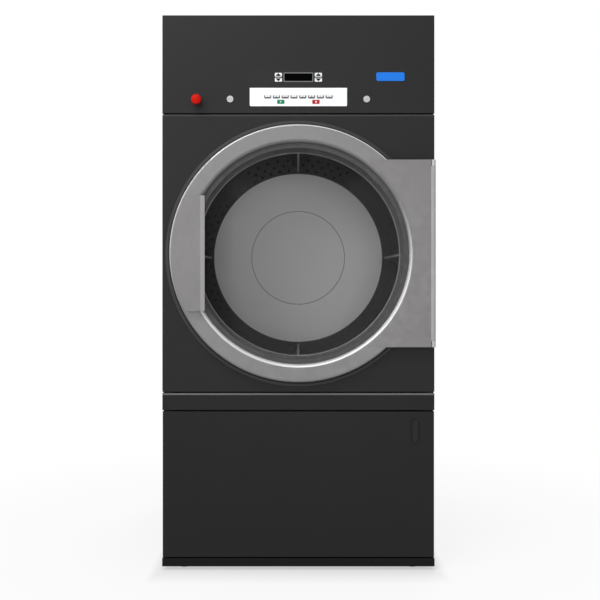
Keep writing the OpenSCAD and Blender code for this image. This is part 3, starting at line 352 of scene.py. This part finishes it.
def grip_paint():
    """The door's paint, with a painted highlight along the grip's sloping lip."""
    start = reach("door_handle") - 0.0138
    fade = 0.005
    f = door_paint("grip_paint")
    f.paint(f.step(f.axis_value("X"), start, start + fade), 146, 145, 145)
    return f


def ring_paint():
    """The door's paint, with painted highlights low on the inner rolled edge and high on the outer one."""
    inner_start, inner_end = DOOR_R - 0.0428, DOOR_R - 0.0448
    outer_start, outer_end = DOOR_R - 0.0038, DOOR_R - 0.0028
    low_highlight_fade = 0.16, -0.12               # heights from the axis, between which the painted highlight grows
    high_highlight_fade = -0.16, 0.20
    f = door_paint("ring_paint", (117, 117, 117))
    r = f.radius(AXIS)
    height = f.axis_value("Z")
    low, high = [f.step(height, AXIS.z + start, AXIS.z + end) for start, end in (low_highlight_fade, high_highlight_fade)]
    # painted highlights, lighter and glossier, on the inner and outer rolled edges
    for start, end, side, rgb in ((inner_start, inner_end, low, (228, 228, 228)),
                                  (outer_start, outer_end, high, (236, 236, 236))):
        edge = f.maths("MULTIPLY", f.step(r, start, end), side)
        f.paint(edge, *rgb)
        f.blend("Roughness", edge, 0.2)
    f.blend("Metallic", f.step(r, inner_start, inner_end), 0.1)
    return f


def drum_back_finish():
    """Stainless disc inside a perforated ring painted dark as painted shade, with the pressed circle's thin
    line.
    """
    ring_width = 0.0708
    disc_r = reach("drum_back") - ring_width
    disc_edge = 0.0006
    press_r = 0.168
    line_edge, line_full = 0.0016, 0.0006
    f = Finish("drum_back_steel", (228, 228, 228), 0.5, 0.1)
    f.mottle(0.03, scale=3.0).mottle(0.02, scale=60.0, stretch=(40.0, 1.0, 1.0), detail=2.0)
    f.polish(0.38, 0.5, scale=30.0, stretch=(1.0, 1.0, 20.0))
    r = f.radius(AXIS)
    off_line = f.maths("ABSOLUTE", f.maths("SUBTRACT", r, press_r))
    f.paint(f.step(off_line, line_edge, line_full), 104, 104, 104)
    # painted shade: the perforated ring dark and matt
    ring = f.step(r, disc_r - disc_edge, disc_r + disc_edge)
    f.paint(ring, 78, 78, 78)
    f.blend("Metallic", ring, 0.0)
    f.blend("Roughness", ring, 0.8)
    f.blend("Specular IOR Level", ring, 0.1)
    return f


def heater_box_finish():
    """Zinc sheet, painted dark and matt on its duct below the heating rods."""
    below_rods = 0.055
    fade = 0.02
    duct_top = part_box("heater_elements")[0].z - below_rods
    f = galvanised("heater_zinc")
    duct = f.step(f.axis_value("Z"), duct_top, duct_top - fade)
    f.paint(duct, 30, 30, 31)
    f.blend("Metallic", duct, 0.0)
    f.blend("Roughness", duct, 0.8)
    return f


def drum_shell_finish():
    """Stainless drum wall with a fine rolled grain along its turn."""
    f = Finish("drum_wall_steel", (120, 121, 122), 0.5, 0.3)
    f.mottle(0.05, scale=3.0).mottle(0.03, scale=50.0, stretch=(1.0, 30.0, 1.0), detail=2.0)
    return f.polish(0.44, 0.58, scale=30.0, stretch=(1.0, 20.0, 1.0))


def lifter_finish():
    """Folded lifter painted dark as painted shade on its flanks, with a painted highlight along its crest."""
    crest_start, crest_full = 0.3131, 0.3124     # distances from the axis
    f = Finish("lifter_steel", (34, 34, 35), 0.6, 0.1)
    f.mottle(0.06, scale=12.0).polish(0.42, 0.58, scale=40.0)
    f.paint(f.step(f.radius(AXIS), crest_start, crest_full), 168, 170, 172)
    return f


def tunnel_finish():
    """Grey tunnel with a painted highlight on its rolled lip."""
    lip_depth = 0.0042
    fade = 0.0006
    lip_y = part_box("tunnel_collar")[1].y - lip_depth
    f = Finish("tunnel_steel", (88, 88, 88), 0.55, 0.1)
    f.mottle(0.05, scale=6.0).polish(0.42, 0.56, scale=30.0)
    f.paint(f.step(f.axis_value("Y"), lip_y, lip_y + fade), 206, 207, 208)
    return f


def overlay_finish():
    """White printed strip under a dark band."""
    strip_height = 0.053
    strip_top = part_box("keypad_overlay")[0].z + strip_height
    edge = 0.0002
    f = Finish("keypad_film", (246, 248, 250), 0.45, Specular_IOR_Level=0.2)
    f.mottle(0.015, scale=20.0)
    f.relief(f.noise(scale=1800.0, detail=2.0), strength=0.1, distance=0.0001)
    f.paint(f.step(f.axis_value("Z"), strip_top - edge, strip_top + edge), 24, 24, 25)
    return f


# Finishes of the pieces made below, and of the emergency stop's head

SCREW_STEEL = satin_metal("screw_steel", (150, 152, 154), 0.32, metal=0.9)
MESH_STEEL = satin_metal("woven_steel", (172, 174, 176), 0.4, metal=0.9)
STOP_RED = moulded("stop_red", (188, 16, 2), 0.5, 0.1, 0.1)
PLATE_BLUE = moulded("plate_blue", (26, 118, 222), 0.4, 0.05, 0.2)
DISPLAY_BLACK = moulded("display_black", (1, 1, 1), 0.2, 0.02, 0.02)
FRAME_GREY = moulded("display_frame", (112, 114, 116), 0.4, 0.1, 0.2)
PRINT_BLACK = moulded("print_black", (6, 6, 6), 0.6, 0.05, 0.05)
PRINT_WHITE = moulded("print_white", (240, 241, 242), 0.5, 0.05)
# grey of the keys' signs, and of the painted shade on their edges
PRINT_AND_SHADE_GREY = moulded("print_grey", (52, 54, 56), 0.5, 0.05, 0.1)
PRINT_RED = moulded("print_red", (196, 50, 48), 0.5, 0.05)


# What each CAD node is finished with

WHITE_KEYS = ["key_%d" % i for i in range(1, 9)]
ARROW_KEYS = ["left_up_key", "left_down_key", "right_up_key", "right_down_key"]

FINISH_OF = {
    powder_coat("plinth_coat", (15, 15, 15), 0.5): ["base_frame"],
    powder_coat("anthracite_coat", (37, 37, 37), 0.46):
        ["left_side_panel", "right_side_panel", "top_cover", "control_panel"],
    front_panel_paint(): ["front_panel"],
    panel_with_painted_highlight("rail_coat", (33, 33, 33), "lint_box", 0.0050, (108, 108, 108)): ["lint_box"],
    # a darker copy of the anthracite coat: painted shade on the low lint door
    powder_coat("anthracite_coat_lower", (32, 32, 32), 0.40): ["lint_door"],
    powder_coat("latch_coat", (36, 36, 36), 0.4): ["lint_latch"],
    galvanised("zinc_sheet"): ["rear_panel", "fan_housing", "control_box"],
    heater_box_finish(): ["heater_box"],
    # dark zinc: painted shade behind the drum's perforated ring, on the bulkhead and the shaft
    galvanised("sooted_zinc_sheet", (58, 58, 59), 0.75, 0.2): ["bulkhead", "drum_shaft"],
    satin_metal("stainless_sheet", (176, 178, 180), 0.34, (1.0, 30.0, 1.0)): ["lint_screen"],
    drum_shell_finish(): ["drum_shell"],
    satin_metal("turned_steel", (168, 170, 172), 0.28, (1.0, 60.0, 1.0)):
        ["drum_bearings", "motor_pulley", "levelling_feet"],
    satin_metal("lock_steel", (176, 177, 178), 0.4, metal=0.15): ["left_panel_lock", "right_panel_lock"],
    satin_metal("hinge_steel", (172, 174, 175), 0.42, (40.0, 40.0, 1.0), 0.35): ["hinge_posts"],
    cast_metal("cast_alloy", (138, 142, 146), 0.5, 0.7): ["drum_pulley", "fan_wheel"],
    cast_metal("cast_iron", (66, 68, 71), 0.65, 0.4): ["bearing_housing"],
    cast_metal("motor_enamel", (62, 82, 100), 0.42, 0.0): ["drive_motor", "fan_motor"],
    ring_paint(): ["door_ring"],
    hinge_plate_paint(): ["door_hinge_plate"],
    grip_paint(): ["door_handle"],
    moulded("black_plastic", (28, 29, 30)): ["cable_gland", "door_switch", "stop_collar", "stop_stem"],
    rubber("seal_rubber", (76, 75, 75)): ["door_gasket"],
    rubber("belt_rubber", (27, 27, 28)): ["drive_belt"],
    felt("seal_felt", (120, 116, 106)): ["drum_seal"],
    clear_glass("door_glass", (92, 92, 92), 0.03): ["door_glass"],
    heated_rod("heating_rod"): ["heater_elements"],
    drum_back_finish(): ["drum_back"],
    lifter_finish(): ["drum_lifters"],
    tunnel_finish(): ["tunnel_collar"],
    overlay_finish(): ["keypad_overlay"],
    STOP_RED: ["stop_head"],
    moulded("start_green", (4, 128, 82), 0.45, 0.1, 0.15): ["start_key"],
    moulded("stop_key_red", (180, 12, 28), 0.45, 0.1, 0.15): ["stop_key"],
    moulded("white_key", (232, 233, 234), 0.35): WHITE_KEYS + ARROW_KEYS,
}

for finish, names in FINISH_OF.items():
    for name in names:
        NODES[name].data.materials.clear()
        NODES[name].data.materials.append(finish.mat)


# Outlines of what is printed or raised on a face

CORNER_STEPS = 6
DISC_SIDES = 16


def rounded_outline(w, h, r):
    """Corner points of a rounded rectangle, anticlockwise."""
    points = []
    for k, (sx, sz) in enumerate(((1, 1), (-1, 1), (-1, -1), (1, -1))):
        for i in range(CORNER_STEPS + 1):
            a = math.radians(90.0 * (k + i / CORNER_STEPS))
            points.append((sx * (w / 2 - r) + r * math.cos(a), sz * (h / 2 - r) + r * math.sin(a)))
    return points


def box_outline(cx, cz, w, h):
    """Corner points of a rectangle, anticlockwise."""
    return [(cx + sx * w / 2, cz + sz * h / 2) for sx, sz in ((1, 1), (-1, 1), (-1, -1), (1, -1))]


def disc_outline(cx, cz, r):
    """Points round a small disc."""
    turns = [2 * math.pi * i / DISC_SIDES for i in range(DISC_SIDES)]
    return [(cx + r * math.cos(a), cz + r * math.sin(a)) for a in turns]


def band(points, width):
    """Outline of a line with a width."""
    left, right = [], []
    for i, (x, z) in enumerate(points):
        ax, az = points[max(i - 1, 0)]
        bx, bz = points[min(i + 1, len(points) - 1)]
        d = math.hypot(bx - ax, bz - az)
        nx, nz = -(bz - az) / d * width / 2, (bx - ax) / d * width / 2
        left.append((x + nx, z + nz))
        right.append((x - nx, z - nz))
    return left + right[::-1]


def wave(cx, height, width):
    """A rising heat wave."""
    swing, steps = 0.0006, 8
    rise = [i / steps for i in range(steps + 1)]
    return band([(cx + swing * math.sin(2 * math.pi * t), height * (t - 0.5)) for t in rise], width)


def across(count, pitch):
    """Evenly spaced places in a row, centred on 0."""
    return [pitch * (k - (count - 1) / 2) for k in range(count)]


# Made pieces

PRINT_THICK = 0.00015


def new_piece(name, mesh, finish, body):
    """A mesh in machine coordinates becomes a piece with one finish on one body."""
    piece = bpy.data.objects.new(name, mesh)
    scene.collection.objects.link(piece)
    mesh.materials.clear()
    mesh.materials.append(finish.mat)
    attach(piece, body)
    return piece


def piece_from(bm, name, finish, body):
    """A bmesh becomes a piece, with its faces outwards."""
    bmesh.ops.remove_doubles(bm, verts=bm.verts, dist=1e-6)
    bmesh.ops.recalc_face_normals(bm, faces=bm.faces)
    mesh = bpy.data.meshes.new(name)
    bm.to_mesh(mesh)
    bm.free()
    new_piece(name, mesh, finish, body)


def bridge(bm, a, b):
    """Faces between two rings of as many points."""
    for i in range(len(a)):
        j = (i + 1) % len(a)
        bm.faces.new((a[i], a[j], b[j], b[i]))


def raise_plan(bm, outline, x, z, back_y, thick, ease=0.0):
    """Raises a plan, seen from the front, towards the user, with its front edge eased off."""
    mid_x = sum(p[0] for p in outline) / len(outline)
    mid_z = sum(p[1] for p in outline) / len(outline)
    front_y = back_y - thick
    first_cut = 0.3 * ease

    def ring(y, inset):
        out = []
        for px, pz in outline:
            d = math.hypot(px - mid_x, pz - mid_z)
            k = 1.0 - inset / d if d else 1.0
            out.append(bm.verts.new((x + mid_x + (px - mid_x) * k, y, z + mid_z + (pz - mid_z) * k)))
        return out

    rings = [ring(back_y, 0.0), ring(front_y + ease, 0.0)]
    if ease:
        rings += [ring(front_y + first_cut, first_cut), ring(front_y, ease)]
    for a, b in zip(rings, rings[1:]):
        bridge(bm, a, b)
    bm.faces.new(rings[0])
    bm.faces.new(rings[-1])


def print_on(node, suffix, outlines, finish, up=0.0):
    """Flat print or painted shade on a key's face, a distance up from its middle."""
    centre = middle(node)
    bm = bmesh.new()
    for outline in outlines:
        raise_plan(bm, outline, centre.x, centre.z + up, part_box(node)[0].y, PRINT_THICK)
    piece_from(bm, node + suffix, finish, node)


def key_shade(w, h):
    """Painted shade along the lower edge and sides of a white key's face."""
    lower, lower_gap = 0.0034, 0.0005
    side, side_gap = 0.0024, 0.0003
    corners = 0.0042                     # what the face's rounded corners take of a side
    x = w / 2 - side_gap - side / 2
    return [box_outline(0.0, -h / 2 + lower_gap + lower / 2, w - corners, lower),
            box_outline(-x, 0.0, side, h - corners),
            box_outline(x, 0.0, side, h - corners)]


def key_sign(i):
    """Plain marks: heat waves on keys 1 to 3, bars on 4 to 6, dots on 7 and 8."""
    if i <= 3:
        return [wave(x, height=0.0042, width=0.0006) for x in across(i, 0.0016)]
    if i <= 6:
        return [box_outline(x, 0.0, 0.0009, 0.0036) for x in across(i - 3, 0.0016)]
    return [disc_outline(x, 0.0, 0.0008) for x in across(i - 6, 0.0022)]


def dress_keys():
    """Painted shade along the white keys' lower edges, and plain signs on all of them."""
    flange = 0.0014                      # of a key, behind the panel, on every side
    for i, name in enumerate(WHITE_KEYS, 1):
        low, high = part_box(name)
        shade = key_shade(high.x - low.x - 2 * flange, high.z - low.z - 2 * flange)
        print_on(name, "_shade", shade, PRINT_AND_SHADE_GREY)
        print_on(name, "_sign", key_sign(i), PRINT_RED if i == 3 else PRINT_AND_SHADE_GREY, up=0.0006)
    for name in ARROW_KEYS:
        up = 1.0 if "_up_" in name else -1.0
        arrow = [(0.0078, -0.0040 * up), (0.0, 0.0048 * up), (-0.0078, -0.0040 * up)]
        print_on(name, "_sign", [arrow], PRINT_BLACK)
    print_on("start_key", "_sign", [[(-0.0022, 0.0026), (-0.0022, -0.0026), (0.0028, 0.0)]], PRINT_WHITE)
    print_on("stop_key", "_sign", [box_outline(0.0, 0.0, 0.0046, 0.0046)], PRINT_WHITE)


def display_window():
    """Black glass in a raised grey frame, over the display block."""
    w, h, corner = 0.0865, 0.0275, 0.003
    rim, rim_thick = 0.0026, 0.0008
    gap = 0.0001
    in_w, in_h, in_corner = w - 2 * rim, h - 2 * rim, 0.0015
    z = (middle("left_up_key").z + middle("left_down_key").z) / 2
    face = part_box("keypad_overlay")[0].y
    front = face - rim_thick
    outer = rounded_outline(w, h, corner)
    inner = rounded_outline(in_w, in_h, in_corner)
    bm = bmesh.new()
    rings = []
    for outline, y in ((outer, face), (outer, front), (inner, front), (inner, face)):
        rings.append([bm.verts.new((x, y, z + pz)) for x, pz in outline])
    for a, b in zip(rings, rings[1:] + rings[:1]):
        bridge(bm, a, b)
    piece_from(bm, "display_frame", FRAME_GREY, "control_panel")
    bm = bmesh.new()
    pane = rounded_outline(in_w - 2 * gap, in_h - 2 * gap, in_corner - gap)
    raise_plan(bm, pane, 0.0, z, face, thick=0.0003)
    piece_from(bm, "display_glass", DISPLAY_BLACK, "control_panel")


def blank_plate():
    """A name plate with nothing on it."""
    w, h, corner = 0.082, 0.025, 0.005
    from_side, from_top = 0.128, 0.178   # of the plate's middle, from the control panel's edges
    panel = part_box("control_panel")[1]
    plan = rounded_outline(w, h, corner)
    bm = bmesh.new()
    raise_plan(bm, plan, panel.x - from_side, panel.z - from_top, PANEL_Y, thick=0.0014, ease=0.0006)
    piece_from(bm, "blank_plate", PLATE_BLUE, "control_panel")


# Repeated detail by geometry nodes

class Tree(Graph):
    """A geometry node tree with named inputs."""

    def __init__(self, name, finish, inputs):
        super().__init__(bpy.data.node_groups.new(name, "GeometryNodeTree"))
        self.finish = finish
        face = self.tree.interface
        face.new_socket("Geometry", in_out="INPUT", socket_type="NodeSocketGeometry")
        face.new_socket("Geometry", in_out="OUTPUT", socket_type="NodeSocketGeometry")
        self.values = {}
        for label, value in inputs.items():
            kind = "NodeSocketInt" if isinstance(value, int) else "NodeSocketFloat"
            socket = face.new_socket(label, in_out="INPUT", socket_type=kind)
            self.values[socket.identifier] = value
        self.given = self.add("NodeGroupInput").outputs

    def first_point(self):
        """Place of the first point that the tree is given."""
        place = self.add("GeometryNodeInputPosition").outputs[0]
        inputs = {"Geometry": self.given["Geometry"], "Value": place, "Index": 0}
        return self.add("GeometryNodeSampleIndex", inputs, data_type="FLOAT_VECTOR").outputs["Value"]

    def moved(self, geometry, **inputs):
        """Geometry after a Transform node."""
        return self.add("GeometryNodeTransform", {"Geometry": geometry, **inputs}).outputs["Geometry"]

    def joined(self, *parts):
        """One closed mesh out of parts that overlap."""
        node = self.add("GeometryNodeMeshBoolean", operation="UNION", solver="EXACT")
        for part in parts:
            self.feed(node, "Mesh 2", part)
        return node.outputs["Mesh"]

    def cut(self, body, tool):
        """A closed mesh less another."""
        inputs = {"Mesh 1": body, "Mesh 2": tool}
        node = self.add("GeometryNodeMeshBoolean", inputs, operation="DIFFERENCE", solver="EXACT")
        return node.outputs["Mesh"]

    def on_points(self, points, instance, rotation):
        """A copy of a mesh on each point."""
        inputs = {"Points": points, "Instance": instance, "Rotation": rotation}
        return self.add("GeometryNodeInstanceOnPoints", inputs).outputs["Instances"]

    def facing(self, direction, axis):
        """Rotation that turns an axis to a direction."""
        node = self.add("FunctionNodeAlignRotationToVector", {"Vector": direction}, axis=axis)
        return node.outputs["Rotation"]

    def end(self, geometry):
        """Ends the tree in Realize Instances and Set Material."""
        real = self.add("GeometryNodeRealizeInstances", {"Geometry": geometry}).outputs["Geometry"]
        painted = self.add("GeometryNodeSetMaterial", {"Geometry": real, "Material": self.finish.mat})
        self.add("NodeGroupOutput", {"Geometry": painted.outputs["Geometry"]})

    def run(self, name, mesh, body):
        """Runs the tree on a mesh and keeps the result as a plain piece."""
        carrier = bpy.data.objects.new(name + "_points", mesh)
        scene.collection.objects.link(carrier)
        modifier = carrier.modifiers.new("detail", "NODES")
        modifier.node_group = self.tree
        for identifier, value in self.values.items():
            modifier[identifier] = value
        graph = bpy.context.evaluated_depsgraph_get()
        result = bpy.data.meshes.new_from_object(carrier.evaluated_get(graph))
        result.name = name
        carrier.modifiers.remove(modifier)
        bpy.data.objects.remove(carrier)
        bpy.data.meshes.remove(mesh)
        return new_piece(name, result, self.finish, body)


def point_mesh(*points):
    """A mesh of loose points."""
    mesh = bpy.data.meshes.new("points")
    mesh.from_pydata(points, [], [])
    return mesh


def screw_tree():
    """Pan-head screws with a cross recess, one on each point."""
    sides = 28
    t = Tree("pan_head_screws", SCREW_STEEL,
             {"Head Radius": 0.0045, "Head Height": 0.0023, "Recess Width": 0.0011})
    radius, height, recess = t.given["Head Radius"], t.given["Head Height"], t.given["Recess Width"]
    half = t.maths("MULTIPLY", height, 0.5)
    quarter = t.maths("MULTIPLY", height, 0.25)
    rim = t.add("GeometryNodeMeshCylinder", {"Vertices": sides, "Radius": radius, "Depth": half})
    rim = t.moved(rim.outputs["Mesh"], Translation=t.xyz(Z=quarter))
    dome = t.add("GeometryNodeMeshUVSphere", {"Segments": sides, "Rings": 16, "Radius": 1.0})
    dome = t.moved(dome.outputs["Mesh"], Translation=t.xyz(Z=half), Scale=t.xyz(X=radius, Y=radius, Z=half))
    length = t.maths("MULTIPLY", radius, 1.1)
    depth = t.maths("MULTIPLY", height, 0.9)
    bars = []
    for size in (t.xyz(X=length, Y=recess, Z=depth), t.xyz(X=recess, Y=length, Z=depth)):
        bar = t.add("GeometryNodeMeshCube", {"Size": size}).outputs["Mesh"]
        bars.append(t.moved(bar, Translation=t.xyz(Z=height)))
    head = t.cut(t.joined(rim, dome), t.joined(*bars))
    outwards = t.add("GeometryNodeInputNamedAttribute", {"Name": "facing"}, data_type="FLOAT_VECTOR")
    turn = t.facing(outwards.outputs["Attribute"], "Z")
    t.end(t.on_points(t.given["Geometry"], head, turn))
    return t


def solids_of(mesh):
    """Corner points of each separate solid in a mesh."""
    bm = bmesh.new()
    bm.from_mesh(mesh)
    bmesh.ops.remove_doubles(bm, verts=bm.verts, dist=1e-5)
    groups, seen = [], set()
    for first in bm.verts:
        if first in seen:
            continue
        seen.add(first)
        group, stack = [], [first]
        while stack:
            vert = stack.pop()
            group.append(vert.co.copy())
            for edge in vert.link_edges:
                other = edge.other_vert(vert)
                if other not in seen:
                    seen.add(other)
                    stack.append(other)
        groups.append(group)
    bm.free()
    return groups


def cabinet_screws():
    """The rear panel's and the skirts' screws, at the places of the frame's screws."""
    sheet = 0.0015                       # thickness of the rear panel's sheet
    rear_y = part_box("rear_panel")[0].y + sheet
    skirt_x = reach("top_cover")
    places, directions = [], []
    for group in solids_of(NODES["cabinet_screws"].data):
        mid = sum(group, Vector()) / len(group)
        if max(p.y for p in group) > rear_y:
            places.append((mid.x, rear_y, mid.z))
            directions.append((0.0, 1.0, 0.0))
        else:
            side = 1.0 if mid.x > 0 else -1.0
            places.append((side * skirt_x, mid.y, mid.z))
            directions.append((side, 0.0, 0.0))
    mesh = point_mesh(*places)
    facing = mesh.attributes.new("facing", "FLOAT_VECTOR", "POINT")
    for i, direction in enumerate(directions):
        facing.data[i].vector = direction
    piece = screw_tree().run("pan_head_screws", mesh, "cabinet")
    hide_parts("cabinet_screws")


def lint_mesh():
    """Woven wire laid over the lint screen's bars."""
    low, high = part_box("lint_screen")
    centre = middle("lint_screen")
    frame_x, frame_y = 0.044, 0.052      # what the screen's frame takes of its width and depth
    back, up = 0.003, 0.0098             # of the wire, from the screen's middle and from its bottom
    t = Tree("woven_wire", MESH_STEEL,
             {"Width": high.x - low.x - frame_x, "Depth": high.y - low.y - frame_y,
              "Wires Across": 84, "Wires Along": 58, "Wire Radius": 0.0004})
    sizes = {"Size X": t.given["Width"], "Size Y": t.given["Depth"],
             "Vertices X": t.given["Wires Across"], "Vertices Y": t.given["Wires Along"]}
    grid = t.add("GeometryNodeMeshGrid", sizes).outputs["Mesh"]
    laid = t.add("GeometryNodeSetPosition", {"Geometry": grid, "Offset": t.first_point()}).outputs["Geometry"]
    lines = t.add("GeometryNodeMeshToCurve", {"Mesh": laid}).outputs["Curve"]
    ring = t.add("GeometryNodeCurvePrimitiveCircle", {"Resolution": 3, "Radius": t.given["Wire Radius"]})
    wires = t.add("GeometryNodeCurveToMesh", {"Curve": lines, "Profile Curve": ring.outputs["Curve"]})
    t.end(wires.outputs["Mesh"])
    t.run("lint_wire_mesh", point_mesh((centre.x, centre.y + back, low.z + up)), "cabinet")


def stop_ribs():
    """Grip ribs round the emergency stop's head."""
    sunk = 0.0003                        # middle of the ribs, under the head's skin
    behind = 0.0127                      # middle of the ribs, from the head's front
    low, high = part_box("stop_head")
    centre = middle("stop_head")
    t = Tree("head_ribs", STOP_RED,
             {"Count": 30, "Radius": (high.x - low.x) / 2 - sunk, "Rib Width": 0.0012, "Rib Length": 0.0074})
    width = t.given["Rib Width"]
    circle = t.add("GeometryNodeMeshCircle", {"Vertices": t.given["Count"], "Radius": t.given["Radius"]})
    rib = t.add("GeometryNodeMeshCube", {"Size": t.xyz(X=width, Y=width, Z=t.given["Rib Length"])})
    outwards = t.facing(t.add("GeometryNodeInputPosition").outputs[0], "X")
    ribs = t.on_points(circle.outputs["Mesh"], rib.outputs["Mesh"], outwards)
    t.end(t.moved(ribs, Rotation=(math.radians(90.0), 0.0, 0.0), Translation=t.first_point()))
    t.run("stop_head_ribs", point_mesh((centre.x, low.y + behind, centre.z)), "stop_head")


dress_keys()
display_window()
blank_plate()
cabinet_screws()
lint_mesh()
stop_ribs()


# Light and floor

LIGHTS = (                               # name, place, what it faces, width and height, watts
    ("top", (-0.9, -1.9, 2.9), (0.0, -0.4, 1.0), (2.8, 0.9), 44.0),
    ("key", (-1.7, -3.6, 2.0), (0.0, -0.4, 0.9), (1.3, 1.3), 22.0),
    ("front", (0.2, -5.6, 0.9), (0.0, -0.4, 0.9), (1.5, 1.5), 30.0),
    ("fill_right", (2.2, -2.0, 0.7), (0.0, -0.4, 0.7), (0.8, 2.2), 8.0),
    ("fill_left", (-2.2, -2.0, 0.7), (0.0, -0.4, 0.7), (0.8, 2.2), 10.0),
    ("back", (0.8, 3.2, 2.6), (0.0, 0.0, 0.9), (2.4, 1.6), 70.0),
)


def soft_light(name, place, target, size, watts):
    """A rectangular softbox that faces a point."""
    data = bpy.data.lights.new(name, "AREA")
    data.shape = "RECTANGLE"
    data.size, data.size_y = size
    data.energy = watts
    lamp = bpy.data.objects.new(name, data)
    lamp.location = place
    lamp.rotation_euler = (Vector(target) - Vector(place)).to_track_quat("-Z", "Y").to_euler()
    scene.collection.objects.link(lamp)


def make_floor():
    """A pale studio floor that keeps the soft shadow near the machine and fades to white further out."""
    half = 14.0
    near_glow, far_glow = 0.52, 0.66     # share of white light, near the machine and far out
    near, far = 0.5, 1.6                 # distances from the machine's middle
    round_glow = 0.34                    # added all round, just clear of the machine
    side_fade = 0.003, 0.035             # where it grows, outside the cabinet's sides
    rear_fade = 0.001, 0.114             # and behind its rear panel, and likewise in front
    side_x = reach("top_cover")
    rear_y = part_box("rear_panel")[1].y
    corners = [(-half, -half, 0), (half, -half, 0), (half, half, 0), (-half, half, 0)]
    mesh = bpy.data.meshes.new("floor")
    mesh.from_pydata(corners, [], [(0, 1, 2, 3)])
    floor = bpy.data.objects.new("floor", mesh)
    scene.collection.objects.link(floor)
    f = Finish("studio_floor", (240, 240, 240), 0.9)
    f.mottle(0.01, scale=0.5)
    base = f.spread(f.radius((0.0, 0.0, 0.0), "XY"), near_glow, far_glow, start=near, end=far)
    outside = [f.step(f.maths("ABSOLUTE", f.axis_value(axis)), edge + start, edge + end)
               for axis, edge, (start, end) in (("X", side_x, side_fade), ("Y", rear_y, rear_fade))]
    glow = f.maths("MULTIPLY_ADD", f.maths("MAXIMUM", *outside), round_glow, base)
    share = f.maths("MULTIPLY", glow, f.in_sight())
    white = f.add("ShaderNodeEmission").outputs[0]
    mix = f.add("ShaderNodeMixShader", {"Fac": share, 1: f.shader.outputs["BSDF"], 2: white})
    f.feed(f.out, "Surface", mix.outputs[0])
    mesh.materials.append(f.mat)


def make_world():
    """White to the camera and in reflections, a level fill for everything else."""
    fill_strength, backdrop_strength = 0.18, 1.0
    white = srgb(255, 255, 255)
    world = bpy.data.worlds.new("studio")
    scene.world = world
    world.use_nodes = True
    world.node_tree.nodes.clear()
    g = Graph(world.node_tree)
    fill = g.add("ShaderNodeBackground", {"Color": white, "Strength": fill_strength}).outputs[0]
    backdrop = g.add("ShaderNodeBackground", {"Color": white, "Strength": backdrop_strength}).outputs[0]
    mix = g.add("ShaderNodeMixShader", {"Fac": g.in_sight(), 1: fill, 2: backdrop})
    g.add("ShaderNodeOutputWorld", {"Surface": mix.outputs[0]})


make_floor()
make_world()
for light in LIGHTS:
    soft_light(*light)

scene.view_settings.view_transform = "Standard"
